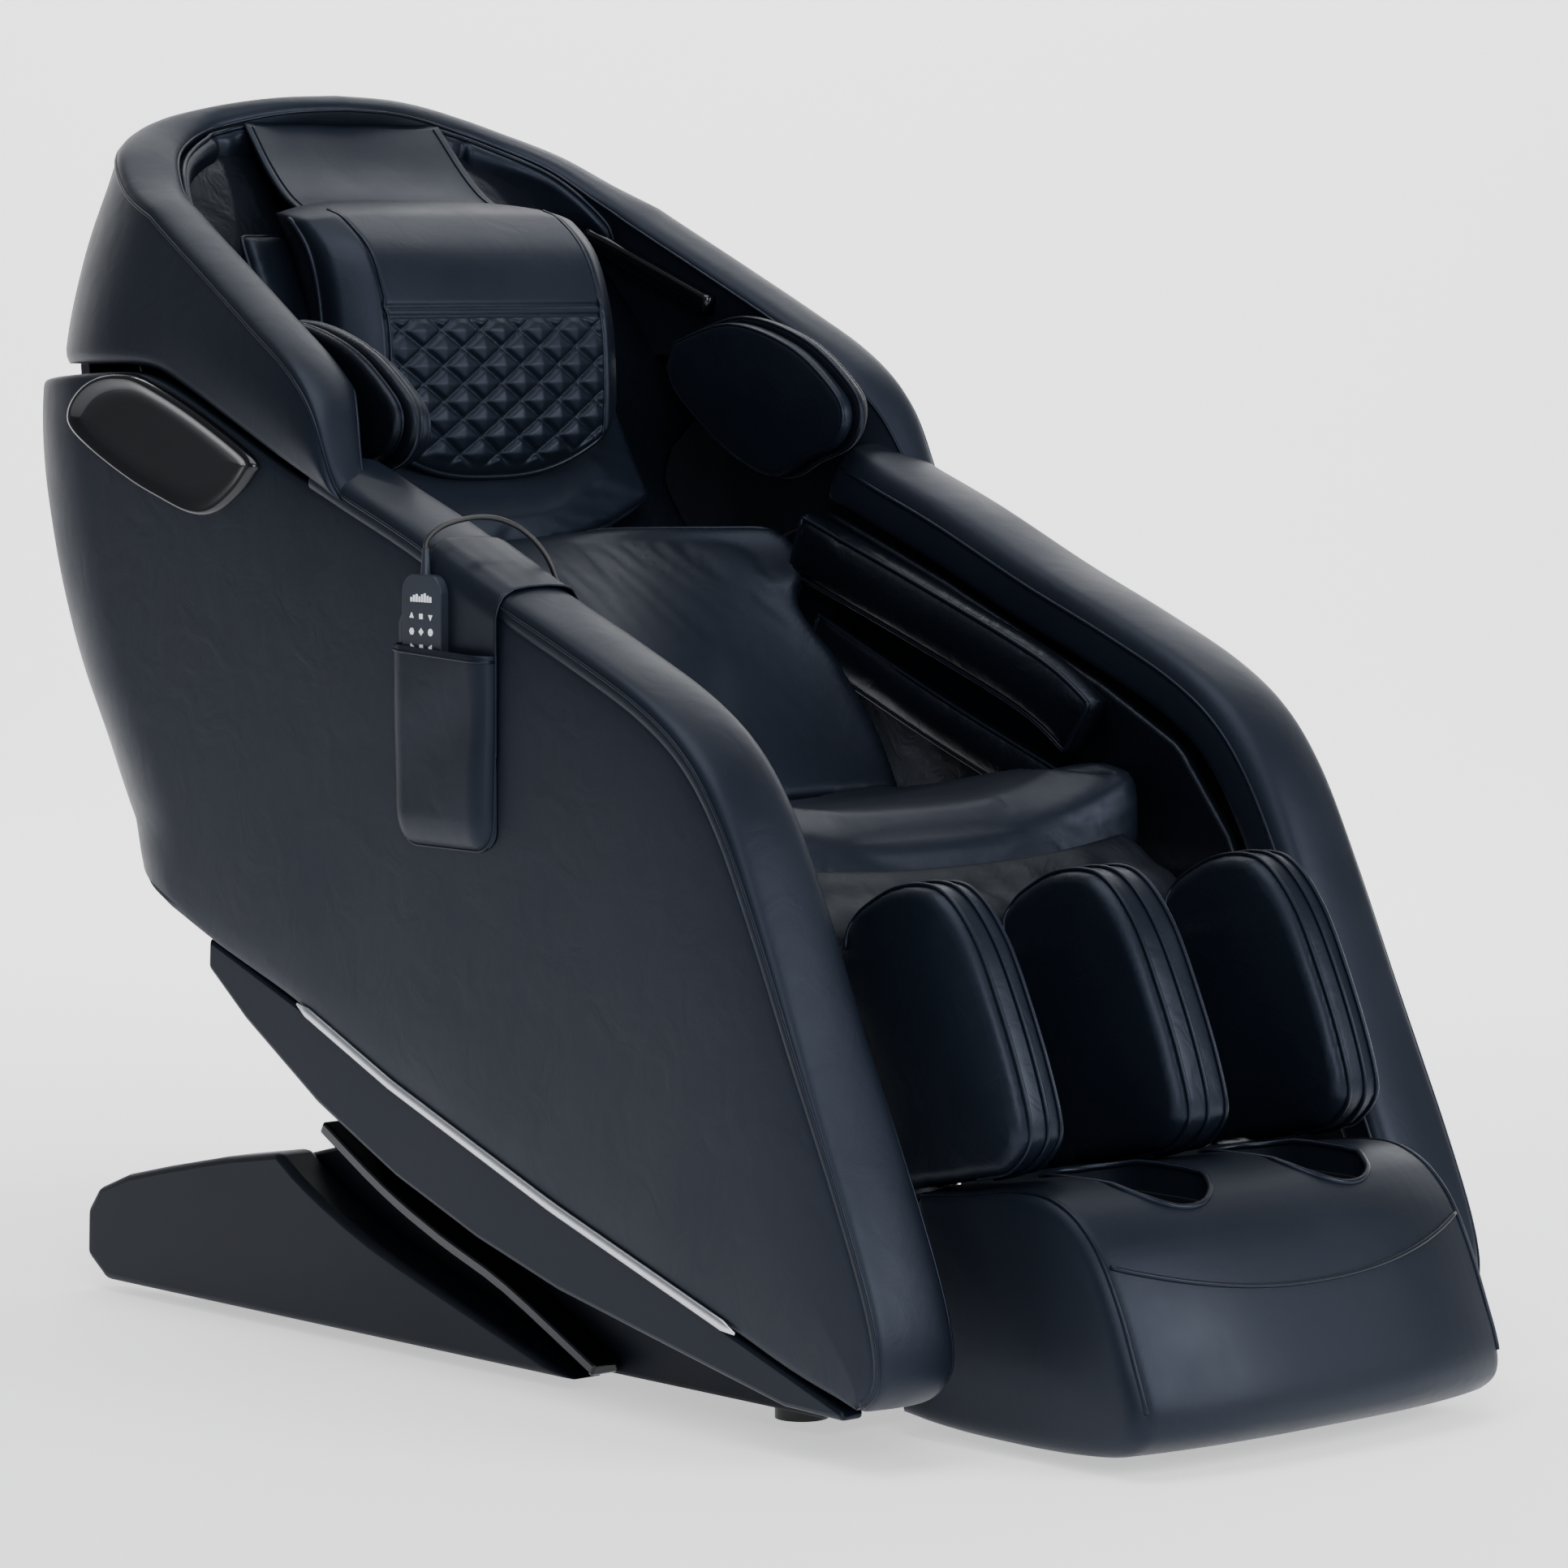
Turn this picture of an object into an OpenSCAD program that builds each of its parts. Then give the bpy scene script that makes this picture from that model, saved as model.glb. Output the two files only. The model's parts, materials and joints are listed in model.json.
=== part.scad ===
// Massage chair with a scooped hood, padded side arms, a lifting calf unit and a
// sliding foot box on a low base. The chair faces -Y, +Z is up, and the origin is
// on the floor under the middle of the chair. The sitter's right is -X.

/* [Overall] */
// Width over the two side arms
chair_width = 760; // [700:5:915]
// Length from the toe of the foot box to the back of the hood, upright
chair_length = 1470; // [1250:5:1760]
// Height of the hood above the floor, upright
chair_height = 1190; // [1000:5:1430]

/* [Arms] */
// Width of the padded band on top of each arm
band_width = 95; // [80:1:115]
// Depth of the padding of the band
band_depth = 56; // [40:1:70]
// Thickness of the padded outer side panel
panel_wall = 34; // [24:1:44]
// Height of the silver strip along the lower edge
strip_height = 9; // [5:0.5:14]

/* [Seat] */
// Width of the seat cushion
seat_width = 512; // [440:4:512]
// Thickness of the seat cushion
seat_thickness = 70; // [50:1:90]
// Width of the back cushions
back_width = 486; // [420:5:490]
// Wall of the hood shell
hood_wall = 62; // [44:1:66]

/* [Legs] */
// Width of the calf unit and of the foot box
leg_width = 462; // [384:2:480]
// Width of one calf airbag fin
fin_width = 62; // [46:1:74]
// Radius of a foot well
well_radius = 52; // [44:1:58]
// Radius of a foot massage roller
foot_roller_radius = 15; // [10:0.5:18]

/* [Base] */
// Width of the base over its side covers
base_width = 650; // [560:5:656]
// Width of the middle of the base
shroud_width = 560; // [480:5:560]
// Wall of the base shroud
shroud_wall = 12; // [8:1:18]
// Radius of the transport wheels
wheel_radius = 24; // [18:1:28]

/* [Shafts] */
// Radius of the shafts of the tilt, the recline and the leg unit
shaft_radius = 12; // [9:0.5:15]
// Running gap between a shaft and its bush
running_gap = 0.08; // [0.04:0.01:0.1]
// Wall of the tubes and lugs around the shafts
lug_wall = 12; // [9:1:18]
// Gap between parts that move past each other
clear_gap = 5; // [4:0.5:8]

/* [Handset] */
// Width of the handset
handset_width = 56; // [46:1:64]
// Length of the handset
handset_length = 118; // [100:1:140]
// Thickness of the handset
handset_thickness = 12; // [9:0.5:13]
// Diameter of the handset's lead
cord_diameter = 5; // [4:0.5:6]

/* [Hidden] */
$fn = 48;

navy = "#20242b";
dark = "#14161b";
satin = "#17191f";
steel = "#4a4d52";
silver = "#c9ccd2";

half = chair_width / 2;
ky = chair_length / 1470;
kz = chair_height / 1190;
band_in = half - band_width;
panel_in = half - panel_wall;
shroud_half = min(shroud_width / 2, half - 100);
base_half = min(base_width / 2, half - 55);
leg_half = min(leg_width / 2, band_in - 30);
seat_half = min(seat_width / 2, band_in - 29);
back_half = min(back_width / 2, band_in - 42);

// Joint places in the side view, as [y, z]
tilt_axis = [110 * ky, 150 * kz];
recline_axis = [70 * ky, 400 * kz];
leg_axis = [-285 * ky, 415 * kz];
arm_axis = [-265 * ky, 280 * kz];
lug_radius = shaft_radius + lug_wall;

// Side view places, [y, z], stretched with the chair's length and height
function at(p) = [p[0] * ky, p[1] * kz];
function all_at(list) = [for (p = list) at(p)];
function mix(a, b, t) = a + (b - a) * t;
function shift(list, d) = [for (p = list) p + d];

// Smooth open curve through the given points, with a number of steps per span
function spline(p, steps = 4) =
    let (n = len(p) - 1)
    concat([for (i = [0:n - 1], k = [0:steps - 1])
        let (a = p[max(i - 1, 0)], b = p[i], c = p[i + 1], d = p[min(i + 2, n)], t = k / steps)
        (2 * b + (c - a) * t + (2 * a - 5 * b + 4 * c - d) * t * t
            + (3 * b - a - 3 * c + d) * t * t * t) / 2], [p[n]]);

// The same curve moved sideways to its left by a distance, or by two, from start to end
function unit(v) = v / max(norm(v), 0.001);
function beside(p, d, e = undef) = [for (i = [0:len(p) - 1])
    let (v = unit(p[min(i + 1, len(p) - 1)] - p[max(i - 1, 0)]), f = is_undef(e) ? d : e)
    p[i] + mix(d, f, i / (len(p) - 1)) * [-v[1], v[0]]];
function reversed(p) = [for (i = [len(p) - 1:-1:0]) p[i]];

// A side view outline made into a slab between two distances from the middle
module across(outline, x0, x1) {
    translate([x0, 0, 0]) rotate([90, 0, 90]) linear_extrude(x1 - x0) polygon(outline);
}

// A shaft or a hole along X through a side view place
module rod(place, radius, x0, x1) {
    translate([x0, place[0], place[1]]) rotate([0, 90, 0]) cylinder(h = x1 - x0, r = radius);
}

module on_side(side) {
    if (side > 0) children();
    else mirror([1, 0, 0]) children();
}

// A skin between rings of equal point counts, each ring closed on itself.
// Both ends are closed by strips between the first and the second half of a ring.
module skin_loft(rings) {
    n = len(rings[0]);
    last = len(rings) - 1;
    walls = [for (r = [0:last - 1], k = [0:n - 1], t = [0, 1])
        let (a = r * n + k, b = r * n + (k + 1) % n, c = a + n, d = b + n)
        t == 0 ? [a, b, d] : [a, d, c]];
    ends = [for (e = [0, last], k = [0:n / 2 - 2], t = [0, 1])
        let (a = e * n + k, b = a + 1, c = e * n + n - 1 - k, d = c - 1)
        e == 0 ? (t == 0 ? [a, c, d] : [a, d, b]) : (t == 0 ? [a, d, c] : [a, b, d])];
    polyhedron(points = [for (r = rings, p = r) p], faces = concat(walls, ends), convexity = 8);
}

// ---- Outlines in the side view -------------------------------------------------

// Top and front edge of an arm, from under the wing to its lowest front point
arm_edge = spline(all_at([[170, 797], [82, 764], [-40, 712], [-148, 670], [-240, 630],
    [-300, 590], [-345, 535], [-390, 452], [-439, 350], [-503, 219], [-540, 130],
    [-545, 80], [-520, 56]]), 3);
// Line between the side panel and the lower trim, front to back
trim_line = all_at([[-520, 56], [-340, 110], [-122, 183], [109, 269], [250, 330], [396, 385]]);
// Line between the wing and the arm panel, front to back
split_line = spline(all_at([[170, 797], [263, 831], [427, 899], [480, 916], [525, 920],
    [570, 912], [620, 895]]), 3);
// Back of the chair, from its lowest point up to the top of the hood
rear_stations = [[385, 500], [434, 545], [487, 585], [563, 628], [631, 668], [701, 698],
    [772, 719], [834, 731], [905, 735], [1031, 732], [1086, 727], [1128, 718], [1165, 702],
    [1190, 672]];
function rear_y(z) = ky * lookup(z / kz, rear_stations);
corner_start = 540 * ky;
function half_at(z) = half - lookup(z / kz, [[860, 0], [935, 10], [1020, 35], [1100, 62], [1190, 66]]);
corner_width = 130;

// ---- Base ------------------------------------------------------------------------

foot_height = 10;
foot_rows = [300 * ky, -300 * ky];

module base_frame() {
    rail_in = shroud_half - shroud_wall - 42;
    color(steel) union() {
        for (s = [-1, 1]) on_side(s)
            across(all_at([[-322, 22], [520, 22], [520, 52], [-322, 52]]), rail_in, rail_in + 30);
        for (y = [-310, 480])
            across(all_at([[y, 22], [y + 30, 22], [y + 30, 52], [y, 52]]), -rail_in - 1, rail_in + 1);
        for (s = [-1, 1]) on_side(s) difference() {
            across([[tilt_axis[0] - 60, 50], [tilt_axis[0] + 60, 50],
                tilt_axis + [lug_radius, lug_radius], tilt_axis + [-lug_radius, lug_radius]],
                rail_in, rail_in + 14);
            rod(tilt_axis, shaft_radius, rail_in - 1, rail_in + 15);
        }
    }
}

module base_shroud() {
    outline = all_at([[-372, 14], [-380, 34], [-330, 92], [-180, 150], [-60, 190], [60, 214],
        [200, 206], [340, 172], [470, 138], [560, 96], [560, 14]]);
    inner = all_at([[-352, 10], [-352, 36], [-316, 80], [-180, 136], [-100, 240], [440, 240],
        [440, 128], [545, 86], [545, 10]]);
    color(satin) difference() {
        across(outline, -shroud_half, shroud_half);
        across(inner, -shroud_half + shroud_wall, shroud_half - shroud_wall);
    }
}

// Swept fin that covers the back of the base on one side
module base_cover(side) {
    outline = concat(all_at([[-84, 12], [640, 12], [672, 34], [670, 79], [651, 103], [602, 122],
        [534, 138], [440, 158], [356, 172]]),
        reversed(spline(all_at([[-84, 12], [91, 66], [212, 103], [306, 143], [356, 172]]), 3)));
    color(satin) on_side(side) across(outline, shroud_half + 1, base_half);
}

module glide_rails() {
    line = spline(all_at([[-96, 16], [31, 76], [127, 110], [212, 146], [305, 196]]), 4);
    color(dark) for (s = [-1, 1]) on_side(s)
        across(concat(line, reversed(beside(line, 13))), shroud_half + 1, base_half - 12);
}

module base_feet() {
    color(dark) for (s = [-1, 1], y = foot_rows)
        translate([s * (shroud_half - 40), y, 0]) cylinder(h = foot_height, r = 24);
    color(dark) for (s = [-1, 1], y = foot_rows)
        translate([s * (shroud_half - 40), y, foot_height]) cylinder(h = 22 * kz - foot_height, r = 12);
}

inlet_at = [150, 560 * ky, 52 * kz];
module power_inlet() {
    color(dark) translate(inlet_at) difference() {
        translate([-28, 0, -16]) cube([78, 8, 32]);
        translate([-20, 2, -10]) cube([32, 10, 20]);
        translate([22, 2, -11]) cube([18, 10, 22]);
    }
    color(silver) translate(inlet_at) for (x = [-13, -4, 5])
        translate([x - 2, 1.9, -3]) cube([3, 5, 6]);
}

switch_axis = [inlet_at[1] + 6, inlet_at[2]];
module power_switch() {
    color(dark) intersection() {
        translate([inlet_at[0] + 23, inlet_at[1] + 3, inlet_at[2] - 10]) cube([16, 12, 20]);
        rod(switch_axis, 8.6, inlet_at[0] + 20, inlet_at[0] + 42);
    }
}

module tilt_shaft() {
    reach = shroud_half - shroud_wall - 20;
    color(steel) rod(tilt_axis, shaft_radius, -reach, reach);
}

wheel_axis = [600 * ky, wheel_radius + 3];
module transport_wheels() {
    color(dark) union() {
        for (s = [-1, 1]) on_side(s) rod(wheel_axis, wheel_radius, shroud_half - 60, shroud_half - 34);
        rod(wheel_axis, 6, -shroud_half + 6, shroud_half - 6);
    }
}

// ---- Seat carriage -----------------------------------------------------------------

frame_half = band_in - 16;
frame_wall = 10;

module seat_frame() {
    lug_in = shroud_half - shroud_wall - 42 - 30;
    color(steel) union() {
        for (s = [-1, 1]) on_side(s) difference() {
            union() {
                across(concat(all_at([[-296, 384], [-230, 372], [60, 345], [110, 352]]),
                    [recline_axis + [40, 10], recline_axis + [22, 34], recline_axis + [-30, 34]],
                    [leg_axis + [-6, 26], leg_axis + [-26, 8]]), frame_half - frame_wall, frame_half);
                rod(recline_axis, lug_radius + 4, frame_half - frame_wall, frame_half);
                rod(leg_axis, lug_radius, frame_half - frame_wall, frame_half);
            }
            rod(recline_axis, shaft_radius, frame_half - frame_wall - 1, frame_half + 1);
            rod(leg_axis, shaft_radius, frame_half - frame_wall - 1, frame_half + 1);
        }
        for (y = [-180, 0])
            across(all_at([[y, 366], [y + 40, 366], [y + 40, 392], [y, 392]]),
                -frame_half + frame_wall - 1, frame_half - frame_wall + 1);
        // Two legs that reach down to the tilt shaft
        for (s = [-1, 1]) on_side(s) difference() {
            union() {
                across([tilt_axis + [-lug_radius, 0], tilt_axis + [lug_radius, 0],
                    at([60, 370]), at([0, 370])], lug_in - 12, lug_in);
                rod(tilt_axis, lug_radius, lug_in - 12, lug_in);
            }
            rod(tilt_axis, shaft_radius + running_gap, lug_in - 13, lug_in + 1);
        }
        for (s = [-1, 1]) on_side(s)
            across(all_at([[-2, 368], [44, 368], [44, 392], [-2, 392]]), lug_in - 40, lug_in);
        // Lower front brackets that carry the arm pins
        for (s = [-1, 1]) on_side(s)
            across([at([-300, 392]), at([-226, 376]), arm_axis + [24, 0], arm_axis + [12, -20],
                arm_axis + [-14, -20], arm_axis + [-24, 4]], frame_half, frame_half + 8);
    }
}

module seat_cushion() {
    top = spline(all_at([[-245, 470], [-235, 496], [-160, 508], [0, 490], [90, 486], [124, 494]]), 4);
    base = 492 * kz - seat_thickness;
    color(navy) across(concat(top, [at([108, 462]), [62 * ky, base + 4], [-230 * ky, base - 8]]),
        -seat_half, seat_half);
}

module seat_apron() {
    rear = leg_axis[0] + lug_radius + 3;
    color(navy) across([[rear, 400 * kz], [rear + 6, 468 * kz], [rear + 12, 468 * kz], [rear + 26, 400 * kz]],
        -leg_half + 6, leg_half - 6);
}

module recline_shaft() {
    color(steel) rod(recline_axis, shaft_radius, -frame_half, frame_half);
}

module leg_shaft() {
    color(steel) rod(leg_axis, shaft_radius, -frame_half, frame_half);
}

arm_pin_radius = 10;
module arm_pins() {
    color(steel) for (s = [-1, 1]) on_side(s)
        rod(arm_axis, arm_pin_radius, frame_half + 8, panel_in - 6);
}

// ---- Backrest ------------------------------------------------------------------------

// Front of the back cushions at each height, and a place behind or before it
back_stations = [[490, 110], [560, 160], [630, 225], [690, 305], [745, 395], [800, 445], [900, 500],
    [1000, 555], [1060, 590], [1120, 635], [1160, 680]];
function back_at(z, off) = [ky * lookup(z, back_stations) + off, z * kz];
// Straight rail of the massage track behind the upper cushion
track_dir = unit([0.53 * ky, 0.85 * kz]);
track_low = at([470, 720]);
function track_at(a, off) = track_low + a * track_dir + off * [track_dir[1], -track_dir[0]];
track_length = 348;
rail_x = 120;

module back_frame() {
    lug_x = frame_half - frame_wall - 1;
    color(steel) union() {
        for (s = [-1, 1]) on_side(s) difference() {
            union() {
                across([recline_axis + [-lug_radius + 4, 0], recline_axis + [lug_radius, -8],
                    at([330, 480]), track_at(40, 26), track_at(60, 6), at([268, 560]),
                    at([150, 428])], lug_x - 10, lug_x);
                rod(recline_axis, lug_radius, lug_x - 10, lug_x);
            }
            rod(recline_axis, shaft_radius + running_gap, lug_x - 11, lug_x + 1);
        }
        across([track_at(10, 4), track_at(10, 24), track_at(50, 24), track_at(50, 4)],
            -lug_x + 9, lug_x - 9);
        across([track_at(track_length - 30, -10), track_at(track_length - 30, 10),
            track_at(track_length, 10), track_at(track_length, -10)], -rail_x - 20, rail_x + 20);
        for (s = [-1, 1]) on_side(s)
            across([track_at(20, -10), track_at(20, 10), track_at(track_length - 10, 10),
                track_at(track_length - 10, -10)], rail_x, rail_x + 14);
    }
}

// Cover between the arms, behind the back
module back_shell() {
    back_line = spline([for (p = [[470, 490], [560, 590], [680, 676], [800, 716], [905, 728],
        [925, 729]]) [p[1] * ky, p[0] * kz]], 3);
    color(navy) across(concat(back_line, reversed(beside(back_line, 16))),
        -band_in + clear_gap, band_in - clear_gap);
}

hood_steps = 26;
hood_rows = 12;
// Upper edge of the hood above each side place, and above each step of the corner and the back
rim_heights = [[170, 812], [190, 826], [221, 894], [266, 935], [338, 975], [424, 1020], [502, 1060],
    [540, 1077]];
corner_heights = [[0, 1077], [0.18, 1100], [0.41, 1130], [0.67, 1152], [1, 1172], [1.5, 1186], [2, 1190]];
function hood_place(u, z, inset) =
    let (w = half_at(z) - inset, ry = rear_y(z) - inset - corner_start, a = 90 * (u - 1))
    u <= 1 ? [w, mix(170 * ky, corner_start, u), z]
    : u <= 2 ? [w - corner_width * (1 - cos(a)), corner_start + ry * sin(a), z]
    : [(w - corner_width) * (3 - u), corner_start + ry, z];
function hood_low(u) = u <= 1 ? kz * lookup(mix(170, 540, u), [[170, 804], [263, 838], [427, 906],
    [480, 923], [540, 927]]) : 927 * kz;
function hood_high(u) = kz * (u <= 1 ? lookup(mix(170, 540, u), rim_heights)
    : lookup(u - 1, corner_heights));
function hood_ring(b, inset, n) = [for (i = [0:n]) let (u = 3 * i / n)
    hood_place(u, mix(hood_low(u), hood_high(u), b),
        inset * min(1, 0.35 + 3 * u) * (1 - 0.4 * min(max(u - 1, 0), 1)))];

module hood_shell() {
    n = hood_steps;
    rings = [for (r = [0:hood_rows]) let (b = r / hood_rows,
        out = hood_ring(b, 0, n), in = hood_ring(b, hood_wall, n),
        mir = function(list) [for (p = list) [-p[0], p[1], p[2]]])
        concat(mir(out), [for (i = [n - 1:-1:0]) out[i]], in, [for (i = [n - 1:-1:0]) mir(in)[i]])];
    color(navy) skin_loft(rings);
}

// Padded corner blocks inside the hood, each side of the pillow flap
module hood_corner_pads() {
    plan = [[246, 606], [246, 640], [209, 642], [175, 624], [152, 604], [140, 586], [144, 560],
        [170, 556], [220, 580]];
    color(navy) for (s = [-1, 1]) on_side(s) translate([0, 0, 1058 * kz])
        linear_extrude(66 * kz) polygon([for (p = plan) [half - p[0], p[1] * ky]]);
}

// Glossy trim bars inside the wings
module wing_trim_bars() {
    color(dark) for (s = [-1, 1]) on_side(s)
        across(all_at([[418, 974], [430, 958], [540, 1007], [534, 1027]]),
            half_at(1060 * kz) - hood_wall - 20, half_at(1060 * kz) - hood_wall - 3);
}

// Layered airbag inside a wing, beside the shoulder
module shoulder_airbag(side) {
    outline = spline(all_at([[440, 944], [344, 956], [232, 905], [207, 866], [232, 842], [320, 836],
        [440, 896], [440, 944]]), 3);
    color(navy) on_side(side) across([for (i = [0:len(outline) - 2]) outline[i]],
        half - hood_wall - 56, half - hood_wall - 20);
}

pad_depth = 20;
module upper_back_pad() {
    line = [for (z = [1048, 1000, 900, 830, 790, 752]) back_at(z, 0)];
    color(navy) across(concat(line, [back_at(740, 8), back_at(752, pad_depth - 4)],
        [for (z = [790, 830, 900, 1000]) back_at(z, pad_depth)], [back_at(1052, pad_depth - 6)]),
        -back_half + 36, back_half - 36);
}

module lumbar_pad() {
    color(navy) across([back_at(507, 6), back_at(520, -12), back_at(560, -16), back_at(630, -18),
        back_at(690, -14), back_at(722, -4), back_at(732, 12), back_at(690, 30), back_at(630, 34),
        back_at(560, 36), back_at(512, 38)], -back_half, back_half);
    // Side lobes beside the waist
    color(navy) for (s = [-1, 1]) on_side(s)
        across(all_at([[300, 640], [262, 690], [290, 738], [330, 752], [372, 742], [384, 700], [350, 652]]),
            back_half - 1, band_in - clear_gap);
}

flap_top = at([662, 1150]);
pillow_half = min(188, half - 192);
flap_half = pillow_half - 64;
module pillow_flap() {
    color(navy) union() {
        across([flap_top + [-4, 4], flap_top + [4, -4], at([574, 1064]), at([560, 1073])],
            -flap_half, flap_half);
        rod(flap_top, 6, -flap_half, flap_half);
    }
}

module pillow() {
    front = spline(all_at([[566, 1066], [530, 1072], [470, 1045], [425, 975], [418, 930], [416, 860],
        [424, 812], [440, 806]]), 3);
    color(navy) across(concat(front, [back_at(850, -3), back_at(900, -3), back_at(1000, -3)]),
        -pillow_half, pillow_half);
}

module massage_carriage() {
    color(steel) union() {
        across([track_at(60, -8), track_at(60, 8), track_at(130, 8), track_at(130, -8)],
            -rail_x + 4, rail_x - 4);
        for (s = [-1, 1]) on_side(s) difference() {
            across([track_at(82, -26), track_at(82, 0), track_at(110, 0), track_at(110, -26)], 44, 58);
            rod(arm_hub, 5 + running_gap, 43, 59);
        }
    }
}

arm_hub = track_at(96, -16);
module massage_arms() {
    color(dark) for (s = [-1, 1]) on_side(s) difference() {
        union() {
            across([track_at(84, -10), track_at(108, -10), track_at(136, -24), track_at(136, -32),
                track_at(56, -32), track_at(56, -24)], 64, 76);
            rod(arm_hub, 7.4, 62, 78);
        }
        rod(arm_hub, 5, 60, 80);
    }
    color(steel) rod(arm_hub, 5, -86, 86);
}

module massage_rollers() {
    color(dark) for (s = [-1, 1]) on_side(s) for (a = [58, 134])
        rod(track_at(a, -28), 14, 78.5, 100);
}

// ---- Arms ------------------------------------------------------------------------------

// For each height: front and back of the side panel and the depth of its rear corner
panel_front = [[56, -520], [80, -545], [130, -540], [219, -503], [350, -439], [452, -390], [535, -345],
    [590, -300], [630, -240], [670, -148], [712, -40], [764, 82], [797, 170], [831, 263], [899, 427],
    [912, 470]];
panel_back = [[56, -500], [110, -340], [183, -122], [269, 109], [330, 250], [385, 396], [434, 545]];
panel_heights = [56, 68, 80, 110, 130, 183, 219, 269, 300, 330, 350, 385, 434, 487, 535, 563, 590, 630, 670,
    712, 764, 797, 831, 865, 890, 906];
corner_steps = 8;
function panel_ring(z) =
    let (front = ky * lookup(z, panel_front),
        back = z < 434 ? ky * lookup(z, panel_back) : rear_y(z * kz) - 4 * ky,
        depth = min(150 * ky * min(1, max(0.03, (z - 330) / 150)), (back - front) * 0.45),
        side = min(half - band_in - 4, 95) * min(1, max(0.03, (z - 330) / 150)),
        arc = [for (i = [0:corner_steps]) let (a = 90 * i / corner_steps)
            [half - side * (1 - cos(a)), back - depth + depth * sin(a), z * kz]],
        back_wall = min(24, depth * 0.6),
        arc_in = [for (i = [corner_steps:-1:0]) let (a = 90 * i / corner_steps)
            [half - panel_wall - max(side - panel_wall, 0) * (1 - cos(a)),
                back - depth + (depth - back_wall) * sin(a), z * kz]])
    concat([[half, front, z * kz]], arc, arc_in, [[half - panel_wall, front, z * kz]]);

module arm_panel(side) {
    color(navy) on_side(side) skin_loft([for (z = panel_heights) panel_ring(z)]);
}

// How far the soft band stands above the side panel's edge at the back of the arm
crown = 18;
module arm_band(side) {
    inner = beside(arm_edge, band_depth - crown);
    color(navy) on_side(side)
        across(concat(beside(arm_edge, -crown, -4), [for (i = [len(inner) - 4:-1:0]) inner[i]]),
            band_in, panel_in - 0.4);
}

module arm_lining(side) {
    color(navy) on_side(side) across(all_at([[200, 752], [80, 700], [-148, 606], [-250, 556],
        [-310, 480], [-340, 400], [-300, 330], [60, 300], [250, 420], [330, 560], [330, 720]]),
        band_in, band_in + 12);
    color(steel) on_side(side) difference() {
        rod(arm_axis, 22, panel_in - 26, panel_in - 0.4);
        rod(arm_axis, arm_pin_radius + running_gap, panel_in - 27, panel_in - 5.8);
    }
}

// Long pad along the inside of the arm that squeezes the forearm from above
module forearm_airbag(side) {
    line = spline(all_at([[238, 769], [60, 706], [-100, 645], [-175, 600]]), 4);
    color(navy) on_side(side) across(concat(line, reversed(beside(line, 62))), band_in - 34, band_in - 0.5);
}

module hand_airbag(side) {
    line = spline(all_at([[235, 672], [60, 600], [-100, 540], [-160, 520]]), 4);
    color(navy) on_side(side) across(concat(line, reversed(beside(line, 50))), band_in - 20, band_in - 0.5);
}

// Plastic trim along the lower edge of the side panel
module arm_trim(side) {
    low = all_at([[398, 350], [340, 306], [230, 238], [112, 182], [-6, 139], [-121, 106],
        [-287, 72], [-424, 44], [-500, 42]]);
    top = all_at([[-498, 52], [-340, 106], [-122, 179], [109, 265], [250, 326], [396, 380]]);
    color(satin) on_side(side) across(concat(low, top), panel_in + 2, half - 6);
}

module light_strip(side) {
    line = all_at([[-372, 100], [-122, 182], [109, 268], [252, 331]]);
    low = shift(line, [0, -strip_height * 0.4 - 2]);
    high = shift(line, [0, strip_height * 0.6 + 2]);
    color(silver) on_side(side) across(concat(low, reversed(high)), half, half + 2.5);
}

// Glossy cover set in the back upper corner of the side panel
module vent_cover(side) {
    outline = spline(all_at([[326, 842], [470, 896], [520, 904], [545, 890], [540, 860],
        [480, 812], [400, 786], [345, 792], [318, 822]]), 2);
    color(dark) on_side(side) across(outline, half, half + 1.5);
}

// ---- Pocket on the right arm -------------------------------------------------------------

pocket_y = 18 * ky;
pocket_half = handset_width / 2 + 42;
pocket_low = 494 * kz;
pocket_rim = 674 * kz;
leather = 1.6;
function arm_top(y) = kz * lookup(y / ky, [[-148, 670], [-40, 712], [82, 764], [170, 797]]);
module handset_pocket() {
    out = half + leather;
    face = out + handset_thickness + 1;
    y0 = pocket_y - pocket_half;
    y1 = pocket_y + pocket_half;
    y2 = y1 - 38;
    strap = [for (y = [y0, -40 * ky, 0, y2]) [y, arm_top(y) + crown + 3]];
    foot = [[y0, pocket_low + 24], [y0 + 26, pocket_low], [y1 - 26, pocket_low], [y1, pocket_low + 24]];
    color(navy) mirror([1, 0, 0]) union() {
        // Back leaf, front leaf, side walls and floor of the pocket
        across(concat(foot, [[y1, pocket_rim + 4], [y2, pocket_rim + 24]], reversed(strap)),
            half + 0.1, out);
        across(concat(foot, [[y1, pocket_rim], [y0, pocket_rim]]), face, face + leather);
        for (y = [y0, y1 - leather])
            across([[y, pocket_low + 24], [y + leather, pocket_low + 24], [y + leather, pocket_rim],
                [y, pocket_rim]], out - 0.2, face + 0.2);
        across([[y0 + 25, pocket_low], [y1 - 25, pocket_low], [y1 - 25, pocket_low + leather],
            [y0 + 25, pocket_low + leather]], out - 0.2, face + 0.2);
        // Strap over the band
        across(concat(strap, reversed(shift(strap, [0, leather]))), band_in + 2, out);
    }
}

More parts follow.
